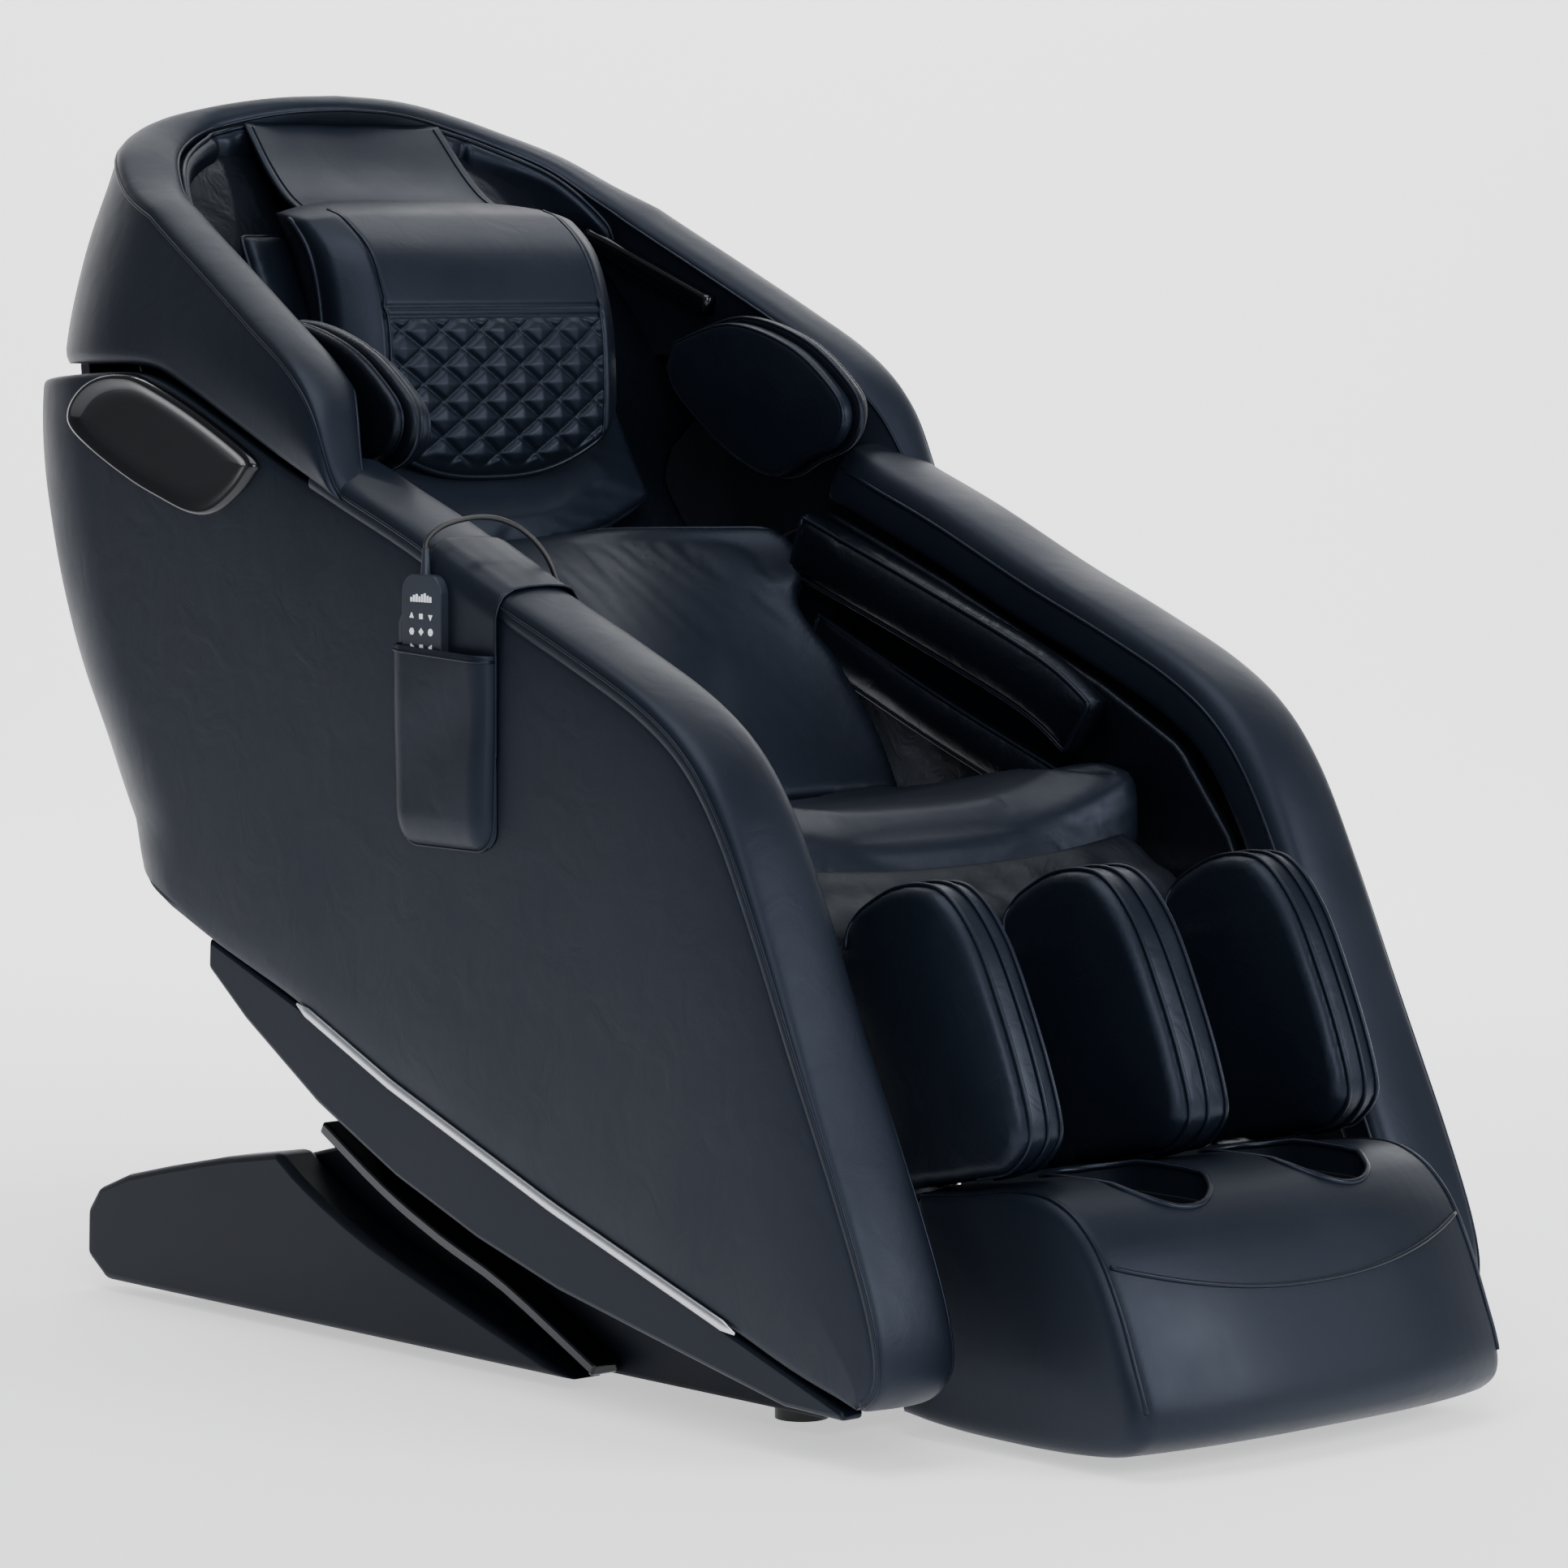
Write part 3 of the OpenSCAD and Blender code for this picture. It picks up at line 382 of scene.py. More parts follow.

# ---- Seat cushion --------------------------------------------------------------------------------
# Foam under navy leather, dished so its sides stand above the middle, with a soft front roll.


def leather(name, light, dark, rough=0.4, wrinkle=1.0, grain=1.0):
    """Coated leather: a cell pattern for the grain, noise of a few centimetres for the soft
    creases, and slight tone and gloss changes. A real grain is about 1 mm across, and it is
    drawn at 2 mm so that it shows."""
    material = new_material(name)
    place = add_node(material, "ShaderNodeTexCoord", out=3)
    slow = add_node(material, "ShaderNodeTexNoise", {"Scale": 7.0, "Detail": 5.0, "Roughness": 0.55},
                    {"Vector": place})
    crease = add_node(material, "ShaderNodeTexNoise", {"Scale": 22.0, "Detail": 3.0, "Distortion": 1.2},
                      {"Vector": place})
    cells = add_node(material, "ShaderNodeTexVoronoi", {"Scale": 520.0, "feature": "DISTANCE_TO_EDGE"},
                     {"Vector": place})
    fine = add_node(material, "ShaderNodeTexNoise", {"Scale": 1300.0, "Detail": 2.0}, {"Vector": place})
    tone = add_node(material, "ShaderNodeMix", {"data_type": "RGBA", 6: hex_linear(dark),
                                                7: hex_linear(light)}, {0: slow}, out=2)
    gloss = add_node(material, "ShaderNodeMapRange", {1: 0.3, 2: 0.7, 3: rough - 0.05, 4: rough + 0.08},
                     {0: slow})
    folds = add_node(material, "ShaderNodeBump", {"Strength": 0.22 * wrinkle, "Distance": 0.006},
                     {"Height": crease})
    pores = add_node(material, "ShaderNodeBump", {"Strength": 0.16 * grain, "Distance": 0.0005},
                     {"Height": cells, "Normal": folds})
    both = add_node(material, "ShaderNodeBump", {"Strength": 0.1 * grain, "Distance": 0.0003},
                    {"Height": fine, "Normal": pores})
    finish = {"Specular IOR Level": 0.26, "Specular Tint": hex_linear("#cfdcf6")}
    return give_surface(material, add_node(material, "ShaderNodeBsdfPrincipled", finish,
                                           {"Base Color": tone, "Roughness": gloss, "Normal": both}))


navy_leather = leather("navy_leather", "#10151f", "#0c1018", 0.42, 0.4)
soft_leather = leather("navy_leather_soft", "#0e131c", "#0a0e16", 0.38, 0.8)
black_leather = leather("black_leather", "#070a11", "#05080d", 0.36, 1.3)
smooth_leather = leather("navy_leather_taut", "#10151e", "#0d1119", 0.42, 0.14)
piping_leather = leather("piping_leather", "#0d121c", "#0a0e16", 0.32, 0.0)


def beside(line, distance):
    """A line in the side view moved to its left by a distance (one, or one per point)."""
    line = np.asarray(line, float)
    way = unit(np.gradient(line, axis=0))
    return line + np.c_[-way[:, 1], way[:, 0]] * np.reshape(distance, (-1, 1))


def evenly(line, count, closed=False):
    """The same line with count points an equal length apart, by its running length."""
    line = np.asarray(line, float)
    if closed:
        line = np.concatenate([line, line[:1]])
    run = np.r_[0.0, np.cumsum(np.linalg.norm(np.diff(line, axis=0), axis=1))]
    at = np.linspace(0.0, run[-1], count + 1)[:-1] if closed else np.linspace(0.0, run[-1], count)
    return np.stack([np.interp(at, run, line[:, k]) for k in range(line.shape[1])], -1)


def inward(ring, distance):
    """A closed side view outline moved inwards by a distance along its own normals. At a corner
    where it would cross itself, the places nearer the outline than that are drawn straight."""
    way = unit(np.roll(ring, -1, 0) - np.roll(ring, 1, 0))
    area = np.sum(ring[:, 0] * np.roll(ring[:, 1], -1) - np.roll(ring[:, 0], -1) * ring[:, 1])
    moved = ring + np.sign(area) * distance * np.c_[-way[:, 1], way[:, 0]]
    gap = np.linalg.norm(moved[:, None] - ring[None], axis=2).min(1)
    clear = np.nonzero(gap > 0.93 * abs(distance))[0]
    if 3 < len(clear) < len(ring):
        step = np.arange(len(ring))
        moved = np.stack([np.interp(step, clear, moved[clear, k], period=len(ring)) for k in (0, 1)], -1)
    return moved


def slab_points(outline, x0, x1, radius, crown=0.0, count=72, rounds=5):
    """Rings of a rounded slab between x0 and x1: at each end the outline moves in by
    radius times (1 - sin a) while x moves by radius times (1 - cos a), and inside that the
    end face shrinks to its centre and swells by crown times (1 - scale squared)."""
    ring = evenly(outline, count, closed=True)
    turn = np.linspace(0.0, math.pi / 2, rounds)
    end = inward(ring, radius)
    middle = end.mean(0)
    rings, places = [], []
    for scale in (0.04, 0.3, 0.55, 0.78, 0.93):
        rings.append(middle + (end - middle) * scale)
        places.append(-crown * (1 - scale**2))
    for a in turn:
        rings.append(inward(ring, radius * (1 - math.sin(a))))
        places.append(radius * (1 - math.cos(a)))
    straight = max(2, int((abs(x1 - x0) - 2 * radius) / 16))
    xs = [x0 + p for p in places] + np.linspace(x0 + radius, x1 - radius, straight + 1)[1:-1].tolist() \
        + [x1 - p for p in places[::-1]]
    rings = rings + [ring] * (straight - 1) + rings[::-1]
    return np.stack([np.c_[np.full(count, x), r] for x, r in zip(xs, rings)])


def slab_pad(name, outline, x0, x1, radius, material, crown=0.0, count=72, bend=None):
    """A closed rounded slab from a side view outline, bent by an optional function."""
    points = slab_points(outline, x0, x1, radius, crown, count)
    if bend is not None:
        points = bend(points)
    faces = capped(points, len(points), count)
    return outward(plain_mesh(name, points.reshape(-1, 3) * MM, faces, material))


def filled(piece, pressure, voxel, pins, frames=20, stiff=18.0, most=0.014):
    """Puffs a closed cushion with air: its mesh is rebuilt from even cells, cloth under an
    inside pressure runs a few frames with the pinned places held, no point moves further
    than most, and the result is kept."""
    scene, layer = bpy.context.scene, bpy.context.view_layer
    layer.objects.active = piece
    grid = piece.modifiers.new("cells", "REMESH")
    grid.mode, grid.voxel_size = "VOXEL", voxel
    with bpy.context.temp_override(object=piece, active_object=piece, selected_objects=[piece]):
        bpy.ops.object.modifier_apply(modifier="cells")
    count = len(piece.data.vertices)
    spots = np.empty(count * 3)
    piece.data.vertices.foreach_get("co", spots)
    spots = spots.reshape(-1, 3)
    group = piece.vertex_groups.new(name="held")
    group.add(np.nonzero(pins(spots / MM))[0].tolist(), 1.0, "REPLACE")
    cloth = piece.modifiers.new("air", "CLOTH")
    cloth.settings.quality = 4
    cloth.settings.mass = 0.3
    cloth.settings.tension_stiffness = cloth.settings.compression_stiffness = stiff
    cloth.settings.shear_stiffness = stiff * 0.5
    cloth.settings.bending_stiffness = 0.6
    cloth.settings.use_pressure = True
    cloth.settings.uniform_pressure_force = pressure
    cloth.settings.effector_weights.gravity = 0.0
    cloth.collision_settings.use_collision = False
    cloth.settings.vertex_group_mass = "held"
    cloth.point_cache.frame_start, cloth.point_cache.frame_end = 1, frames
    for frame_number in range(1, frames + 1):
        scene.frame_set(frame_number)
    shaped = piece.evaluated_get(bpy.context.evaluated_depsgraph_get()).data
    moved = np.empty(count * 3)
    shaped.vertices.foreach_get("co", moved)
    moved = moved.reshape(-1, 3)
    step = moved - spots
    size = np.linalg.norm(step, axis=1, keepdims=True)
    moved = spots + step * np.minimum(1.0, most / np.maximum(size, 1e-9))
    piece.modifiers.remove(cloth)
    scene.frame_set(1)
    piece.data.vertices.foreach_set("co", moved.ravel())
    piece.data.polygons.foreach_set("use_smooth", [True] * len(piece.data.polygons))
    piece.data.update()
    return piece


def laid_on(piece, line, lift=0.0):
    """A line moved onto the nearest places of a piece's surface and out by a lift, in metres."""
    tree = BVHTree.FromObject(piece, bpy.context.evaluated_depsgraph_get())
    found = [tree.find_nearest(Vector(p)) for p in np.asarray(line, float)]
    laid = np.array([list(hit[0] + hit[1] * lift) for hit in found])
    soft = laid.copy()
    soft[1:-1] = (laid[:-2] + 2 * laid[1:-1] + laid[2:]) / 4
    return soft


def tube_along(name, line, radius, material, sides=8, closed=False):
    """A round tube along any line in space, its rings turned with the least twist: each
    ring's side vector is the last one with its part along the new direction taken away."""
    line = np.asarray(line, float)
    if closed:
        way = unit(np.roll(line, -1, 0) - np.roll(line, 1, 0))
    else:
        way = unit(np.gradient(line, axis=0))
    side = np.cross(way[0], [0.13, 0.2, 0.97])
    sides_at = []
    for w in way:
        side = side - w * np.dot(side, w)
        side = side / max(np.linalg.norm(side), 1e-9)
        sides_at.append(side)
    across = np.array(sides_at)
    over = np.cross(way, across)
    turn = np.arange(sides) * 2 * math.pi / sides
    points = line[:, None] + radius * (np.cos(turn)[None, :, None] * across[:, None]
                                       + np.sin(turn)[None, :, None] * over[:, None])
    if closed:
        faces = grid_faces(len(line), sides, round_rows=True, round_columns=True).tolist()
    else:
        faces = capped(points, len(line), sides)
    return outward(plain_mesh(name, points.reshape(-1, 3), faces, material))


seat_top = spline([[-245, 470], [-237, 494], [-215, 503], [-160, 506], [0, 490], [90, 486], [122, 490]], 5)
seat_under = [[120, 474], [104, 450], [62, 424], [-60, 416], [-228, 414], [-246, 430]]
seat_line = np.concatenate([seat_top, seat_under])
seat_half = 262


def dished(points):
    """Lifts the seat towards its sides by up to 48 mm times the side share to the power 2.6,
    and narrows its rear between the arms."""
    points = points.copy()
    share = np.clip(np.abs(points[..., 0]) / seat_half, 0, 1)
    front = np.clip((60 - points[..., 1]) / 260, 0, 1)
    points[..., 2] += (14 + 34 * front) * share**2.6
    points[..., 1] += 16 * share**2 * front
    points[..., 0] *= 1 - 0.06 * np.clip((points[..., 1] + 120) / 120, 0, 1)
    return points


seat = slab_pad("seat", seat_line, -seat_half, seat_half, 16, navy_leather, 0, 96, dished)
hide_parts("seat_cushion")
filled(seat, 3.0, 0.006, lambda p: (p[:, 2] < 445) | (np.abs(p[:, 0]) > 254))
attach(seat, "carriage")

# ---- Seat apron ----------------------------------------------------------------------------------
# Soft wrinkled leather that closes the gap between the seat's front and the calf unit. It is
# sewn to both, so it bends where the calf unit lifts.
leg_run = unit(np.array([-0.42, -0.91]))
leg_fore = np.array([leg_run[1], -leg_run[0]])
leg_shaft_at = np.round(np.mean(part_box("leg_shaft"), axis=0)[1:] / MM)


def leg_at(along, fore):
    """A side view place in the calf unit: along it from its shaft and forward of its pan."""
    return leg_shaft_at + np.multiply.outer(along, leg_run) + np.multiply.outer(fore, leg_fore)


fold = np.random.default_rng(7)
apron_half = 226
apron_across = np.linspace(-apron_half, apron_half, 90)
apron_down = np.linspace(0, 1, 26)
apron_line = spline([[-236, 470], [-256, 462], [-276, 450], [-300, 444], [-322, 428], [-330, 410]], 5)
apron_line = evenly(apron_line, 26)
ripple = 0.0
for crease_rate in (0.035, 0.052, 0.08, 0.11, 0.15):
    phase = apron_across[None, :] * crease_rate + fold.uniform(0, 6)
    phase = phase + 3 * apron_down[:, None] * fold.uniform(-1, 1)
    ripple = ripple + np.cos(phase) * fold.uniform(0.6, 1.6)
ripple = ripple * np.sin(apron_down * math.pi)[:, None] * 0.9
apron_way = beside(apron_line, 1.0) - apron_line
apron_front = np.stack([np.broadcast_to(apron_across, ripple.shape),
                        apron_line[:, None, 0] - apron_way[:, None, 0] * ripple,
                        apron_line[:, None, 1] - apron_way[:, None, 1] * ripple], -1)
apron_front[..., 2] += 16 * (np.abs(apron_across) / apron_half)[None, :]**2.4 * (1 - apron_down)[:, None]


def thick_sheet(name, front, depth, material):
    """A closed sheet: a grid of points, a copy moved by a vector (or one per point), and
    strips that join the two all round."""
    rows, columns = front.shape[:2]
    back = front + depth
    count = rows * columns
    first = grid_faces(rows, columns)
    second = grid_faces(rows, columns)[:, ::-1] + count
    rim = np.concatenate([np.arange(columns), np.arange(1, rows) * columns + columns - 1,
                          (rows - 1) * columns + np.arange(columns - 2, -1, -1),
                          np.arange(rows - 2, 0, -1) * columns])
    after = np.roll(rim, -1)
    strips = np.stack([rim, rim + count, after + count, after], -1)
    points = np.concatenate([front.reshape(-1, 3), back.reshape(-1, 3)])
    return outward(plain_mesh(name, points * MM, np.concatenate([first, second, strips]), material))


apron_leather = leather("apron_leather", "#06090f", "#05070c", 0.55, 1.5)
apron = thick_sheet("apron", apron_front, np.array([0.0, 5.0, -3.0]), apron_leather)
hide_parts("seat_apron")
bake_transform(apron, "carriage", "leg_rest", start=(0.0, -0.240, 0.468), end=(0.0, -0.326, 0.420))

# ---- Calf unit ----------------------------------------------------------------------------------
# Three upright airbags, each a rounded slab of leather with two layers at its front edge, and
# a fabric pan between them.
fin_bow = [leg_at(-10, 130), leg_at(10, 180), leg_at(62, 203), leg_at(130, 208), leg_at(200, 206),
           leg_at(246, 196), leg_at(262, 160)]
fin_line = np.concatenate([[leg_at(40, 18), leg_at(10, 40)], spline([leg_at(-8, 78), *fin_bow], 4),
                           [leg_at(250, 100), leg_at(232, 18)]])
fin_rim = evenly(fin_line, 96, closed=True)
welt_bow = spline([leg_at(22, 60), leg_at(-8, 84), *fin_bow, leg_at(256, 120)], 8)
calf_places = {"left": 200.0, "middle": 0.0, "right": -200.0}
for fin_name, fin_mid in calf_places.items():
    fin_half = 37 if fin_name == "middle" else 31
    fin = slab_pad("calf_pad_" + fin_name, fin_line, fin_mid - fin_half, fin_mid + fin_half, 17,
                   soft_leather, 5, 96)
    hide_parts("calf_fin_" + fin_name)

    def near_rim(p, mid=fin_mid, half=fin_half):
        """Holds the seams: places within 6 mm of the slab's two edge lines."""
        at_edge = np.abs(np.abs(p[:, 0] - mid) - (half - 5)) < 3.5
        gap = np.min(np.linalg.norm(p[:, None, 1:] - inward(fin_rim, 5.0)[None], axis=2), axis=1)
        return at_edge & (gap < 6.0)

    filled(fin, 5.0, 0.005, near_rim)
    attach(fin, "leg_rest")
    for row, shift_x in enumerate((-0.62, 0.0, 0.62) if fin_name == "middle" else (-0.55, 0.1, 0.62)):
        at_x = fin_mid + shift_x * fin_half
        welt = laid_on(fin, np.c_[np.full(len(welt_bow), at_x), welt_bow] * MM, 0.0012)
        piece = tube_along("calf_welt_%s_%d" % (fin_name, row + 1), welt, 0.0022, piping_leather)
        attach(piece, "leg_rest")

pan_line = evenly(np.array([leg_at(34, 17), leg_at(80, 16.5), leg_at(160, 16.5), leg_at(232, 17)]), 24)
pan_across = np.linspace(-228, 228, 60)
pan_sag = 2.5 * np.cos(pan_across / 14.0)[None, :] * np.sin(np.linspace(0, math.pi, 24))[:, None]
pan_front = np.stack([np.broadcast_to(pan_across, pan_sag.shape),
                      pan_line[:, None, 0] + leg_fore[0] * pan_sag,
                      pan_line[:, None, 1] + leg_fore[1] * pan_sag], -1)
pan = thick_sheet("calf_lining", pan_front, -3.0 * np.array([0.0, *leg_fore]), soft_leather)
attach(pan, "leg_rest")

# ---- Foot box -------------------------------------------------------------------------------------
# Taut leather over a moulded box with two deep wells. The top panel meets the front panel at a
# curved seam, and piping runs round each well and up each side.
box_line = spline([[-412, 18], [-470, 12], [-560, 10], [-640, 12], [-700, 18], [-727, 30], [-736, 46],
                   [-731, 74], [-712, 120], [-692, 160], [-668, 196], [-640, 220], [-610, 233], [-580, 238],
                   [-540, 236], [-500, 229], [-460, 224], [-432, 220]], 4)
box_line = np.concatenate([box_line, [[-426, 160], [-418, 90]]])
foot_half = 231


def puffed_box(points):
    """Leans the box's front face in towards its sides by 26 mm times the side share cubed, and
    drops the top's sides by 7 mm times the side share to the power 4."""
    points = points.copy()
    share = np.abs(points[..., 0]) / foot_half
    front = np.clip((-560 - points[..., 1]) / 160, 0, 1)
    points[..., 1] += 26 * share**3 * front
    points[..., 2] -= 7 * share**4 * np.clip((points[..., 2] - 60) / 150, 0, 1)
    return points


foot = slab_pad("foot_cover", box_line, -foot_half, foot_half, 15, smooth_leather, 3, 150, puffed_box)
cells = foot.modifiers.new("cells", "REMESH")
cells.mode, cells.voxel_size = "VOXEL", 0.004
foot.data = bpy.data.meshes.new_from_object(foot.evaluated_get(bpy.context.evaluated_depsgraph_get()))
foot.modifiers.remove(cells)
well_turn = np.linspace(0, 2 * math.pi, 49)[:-1]
well_radius = 52
well_ring = np.c_[well_radius * np.sin(well_turn),
                  -560 + np.where(np.cos(well_turn) >= 0, 26, -34) + well_radius * np.cos(well_turn)]
well_places = {"left": 100, "right": -100}
for well_mid in well_places.values():
    well_rings = [np.c_[well_ring[:, 0] + well_mid, well_ring[:, 1], np.full(48, z)] for z in (62, 300)]
    cutter = outward(plain_mesh("well_cutter", np.concatenate(well_rings) * MM, capped(well_rings, 2, 48),
                                smooth_leather))
    cut = foot.modifiers.new("well", "BOOLEAN")
    cut.object, cut.operation, cut.solver = cutter, "DIFFERENCE", "EXACT"
    shaped = bpy.data.meshes.new_from_object(foot.evaluated_get(bpy.context.evaluated_depsgraph_get()))
    foot.modifiers.remove(cut)
    foot.data = shaped
    bpy.data.objects.remove(cutter)
foot.data.polygons.foreach_set("use_smooth", [True] * len(foot.data.polygons))
foot.data.set_sharp_from_angle(angle=math.radians(50))
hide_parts("foot_box")
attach(foot, "foot_rest")


def seam_on(host, name, line, radius, lift, body, material=piping_leather, closed=False):
    """Piping laid on a piece's surface: the line goes to the nearest places on it, and a
    round tube of leather is made along it and carried with the body."""
    from_line = laid_on(host, np.asarray(line, float) * MM, lift)
    piece = tube_along(name, from_line, radius, material, closed=closed)
    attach(piece, body)
    return piece


box_top = spline([[-735, 60], [-712, 120], [-692, 160], [-668, 196], [-640, 220], [-610, 233], [-580, 238],
                  [-540, 236], [-500, 229], [-460, 224], [-436, 221]], 8)
for side_name, side_x in (("left", 222), ("right", -222)):
    line = np.c_[np.full(len(box_top), side_x), box_top]
    seam_on(foot, "foot_side_welt_" + side_name, puffed_box(line), 0.0022, 0.0006, "foot_rest")
seam_x = np.linspace(-222, 222, 60)
seam_drop = 1 - np.abs(seam_x / 222)**2.2
front_seam = np.c_[seam_x, -676 - 22 * seam_drop, 186 - 40 * seam_drop]
seam_on(foot, "foot_front_welt", front_seam, 0.0022, 0.0006, "foot_rest")
for well_name, well_mid in well_places.items():
    rim = np.c_[well_ring[:, 0] * 1.03 + well_mid, well_ring[:, 1], np.full(48, 236.0)]
    seam_on(foot, "well_welt_" + well_name, rim, 0.003, 0.0006, "foot_rest", closed=True)
lining_cloth = leather("well_lining_cloth", "#0b0d11", "#08090c", 0.7, 1.0, 1.6)
coated(lining_cloth, "foot_well_linings")

# ---- Hood --------------------------------------------------------------------------------------------
# One padded shell that runs round the back and both wings: a smooth outer face, a rounded rim
# band between two seams, and an inner face. The wings thin out and round off at their tips.


def looked(value, table, steps=6):
    """Smooth reading of a table: the spline through its rows, read by its first column."""
    curve = spline(table, steps)
    return np.interp(value, curve[:, 0], curve[:, 1])


rear_table = [[385, 500], [434, 545], [487, 585], [563, 628], [631, 668], [701, 698], [772, 719],
              [834, 731], [905, 735], [1031, 732], [1086, 727], [1128, 718], [1165, 702], [1190, 672]]
narrow_table = [[800, 0], [860, 0], [935, 10], [1020, 35], [1100, 60], [1150, 66], [1190, 68]]
hood_wall = 62.0
half_width = round(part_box("arm_panel_left")[1][0] / MM)
wing_front = 170
wing_length = 370
corner_wide = 130


def hood_place(u, z, inset):
    """Plan of the hood at a height: a straight side for u up to 1, a quarter ellipse for the
    corner up to 2, and the straight rear up to 3, all moved inwards by the wall."""
    w = half_width - looked(z, narrow_table) - inset
    deep = looked(z, rear_table) - inset - wing_front - wing_length
    a = np.clip(u - 1, 0, 1) * math.pi / 2
    behind = np.where(u <= 2, w - corner_wide * (1 - np.cos(a)), (w - corner_wide) * (3 - u))
    y = np.where(u <= 1, wing_front + wing_length * u, wing_front + wing_length + deep * np.sin(a))
    return np.stack([np.where(u <= 1, w, behind), y, z], -1)


rim_table = [[170, 806], [178, 816], [190, 836], [221, 894], [266, 935], [338, 975], [424, 1020],
             [502, 1060], [540, 1080]]
corner_table = [[0, 1080], [0.18, 1100], [0.41, 1130], [0.67, 1152], [1, 1172], [1.5, 1186], [2, 1190]]
low_table = [[170, 800], [190, 807], [263, 836], [345, 870], [427, 903], [480, 920], [540, 924]]
hood_u = np.concatenate([np.linspace(0, 1, 46)[:-1]**1.6, np.linspace(1, 2, 26)[:-1],
                         np.linspace(2, 3, 10)])
hood_side = wing_front + wing_length * np.clip(hood_u, 0, 1)
past_corner = np.clip(hood_u - 1, 0, 1)
hood_low = np.where(hood_u <= 1, looked(hood_side, low_table), low_table[-1][1] - 5 * past_corner)
hood_high = np.where(hood_u <= 1, looked(hood_side, rim_table),
                     looked(np.clip(hood_u - 1, 0, 2), corner_table))
hood_thick = hood_wall * np.minimum(1, 0.42 + 3 * hood_u) * (1 - 0.4 * past_corner)
rim_rise = 15
tip_share = np.sqrt(1 - (1 - np.clip((hood_side - 168) / 26, 0, 1))**2)
climb = np.concatenate([[0.0, 0.012, 0.035, 0.07], np.linspace(0.12, 1.0, 20)])
over = np.linspace(0, math.pi, 13)[1:-1]


def hood_profile(u, low, high, thick, tip):
    """One closed ring of the shell at a station: up the outer face, over the rim as a half
    ellipse, and down the inner face, squeezed to its middle near the wing's tip."""
    top = high - rim_rise * tip
    z = low + (top - low) * climb
    outer = hood_place(np.full_like(z, u), z, 0.0)
    inner = hood_place(np.full_like(z, u), z, thick)
    swell = 5.0 * np.sin(np.clip(climb, 0, 1) * math.pi) * tip
    away = unit((outer - inner) * [1, 1, 0])
    edge = np.clip(1 - climb / 0.07, 0, 1)
    outer = outer + away * (swell - 5 * edge**2)[:, None]
    middle = (outer + inner) / 2
    outer, inner = middle + (outer - middle) * tip, middle + (inner - middle) * tip
    centre, reach = (outer[-1] + inner[-1]) / 2, (outer[-1] - inner[-1]) / 2
    rim = centre + np.cos(over)[:, None] * reach + np.sin(over)[:, None] * [0, 0, rim_rise * tip]
    return np.concatenate([outer, rim, inner[::-1]])


stations = zip(hood_u, hood_low, hood_high, hood_thick, np.maximum(tip_share, 0.05))
hood_half_rings = np.stack([hood_profile(*station) for station in stations])
hood_rings = np.concatenate([hood_half_rings, (hood_half_rings * [-1, 1, 1])[::-1][1:]])
hood = outward(plain_mesh("hood", hood_rings.reshape(-1, 3) * MM,
                          capped(hood_rings, len(hood_rings), hood_rings.shape[1]), navy_leather))
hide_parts("hood_shell")
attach(hood, "backrest")
rim_start = len(climb) - 1
for welt_name, at, keep in (("outer", rim_start, 2), ("inner", rim_start + len(over) + 1, 3)):
    welt_line = laid_on(hood, evenly(hood_rings[keep:-keep, at], 420) * MM, 0.0002)
    welt = tube_along("hood_welt_" + welt_name, welt_line, 0.0017, piping_leather)
    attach(welt, "backrest")
eased("rear_cover", "back_shell", 0.004, smooth_leather)

# ---- Trim bars inside the wings ----------------------------------------------------------------------
# A gloss black bar with a rounded front, let into each wing's inner face.
bar_y = np.linspace(424, 596, 26)
bar_bend = np.arcsin(np.clip((bar_y - wing_front - wing_length) / 150, 0, 1)) / (math.pi / 2)
bar_u = np.minimum((bar_y - wing_front) / wing_length, 1) + bar_bend
bar_z = np.interp(bar_y, [424, 640], [976, 1068])
bar_turn = np.arange(16) * 2 * math.pi / 16
bar_shape = np.c_[np.sign(np.cos(bar_turn)) * 8.5 * np.abs(np.cos(bar_turn))**0.6,
                  np.sign(np.sin(bar_turn)) * 11 * np.abs(np.sin(bar_turn))**0.6]
bar_path = hood_place(bar_u, bar_z, hood_wall + 7.0)
for side_name, side in (("left", 1), ("right", -1)):
    bar = carried_ring(bar_path * [side, 1, 1], bar_shape, (0.0, 0.0, 1.0))
    piece = outward(plain_mesh("wing_bar_" + side_name, bar.reshape(-1, 3) * MM, capped(bar, len(bar), 16),
                               gloss_black))
    if side > 0:
        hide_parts("wing_trim_bars")
    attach(piece, "backrest")

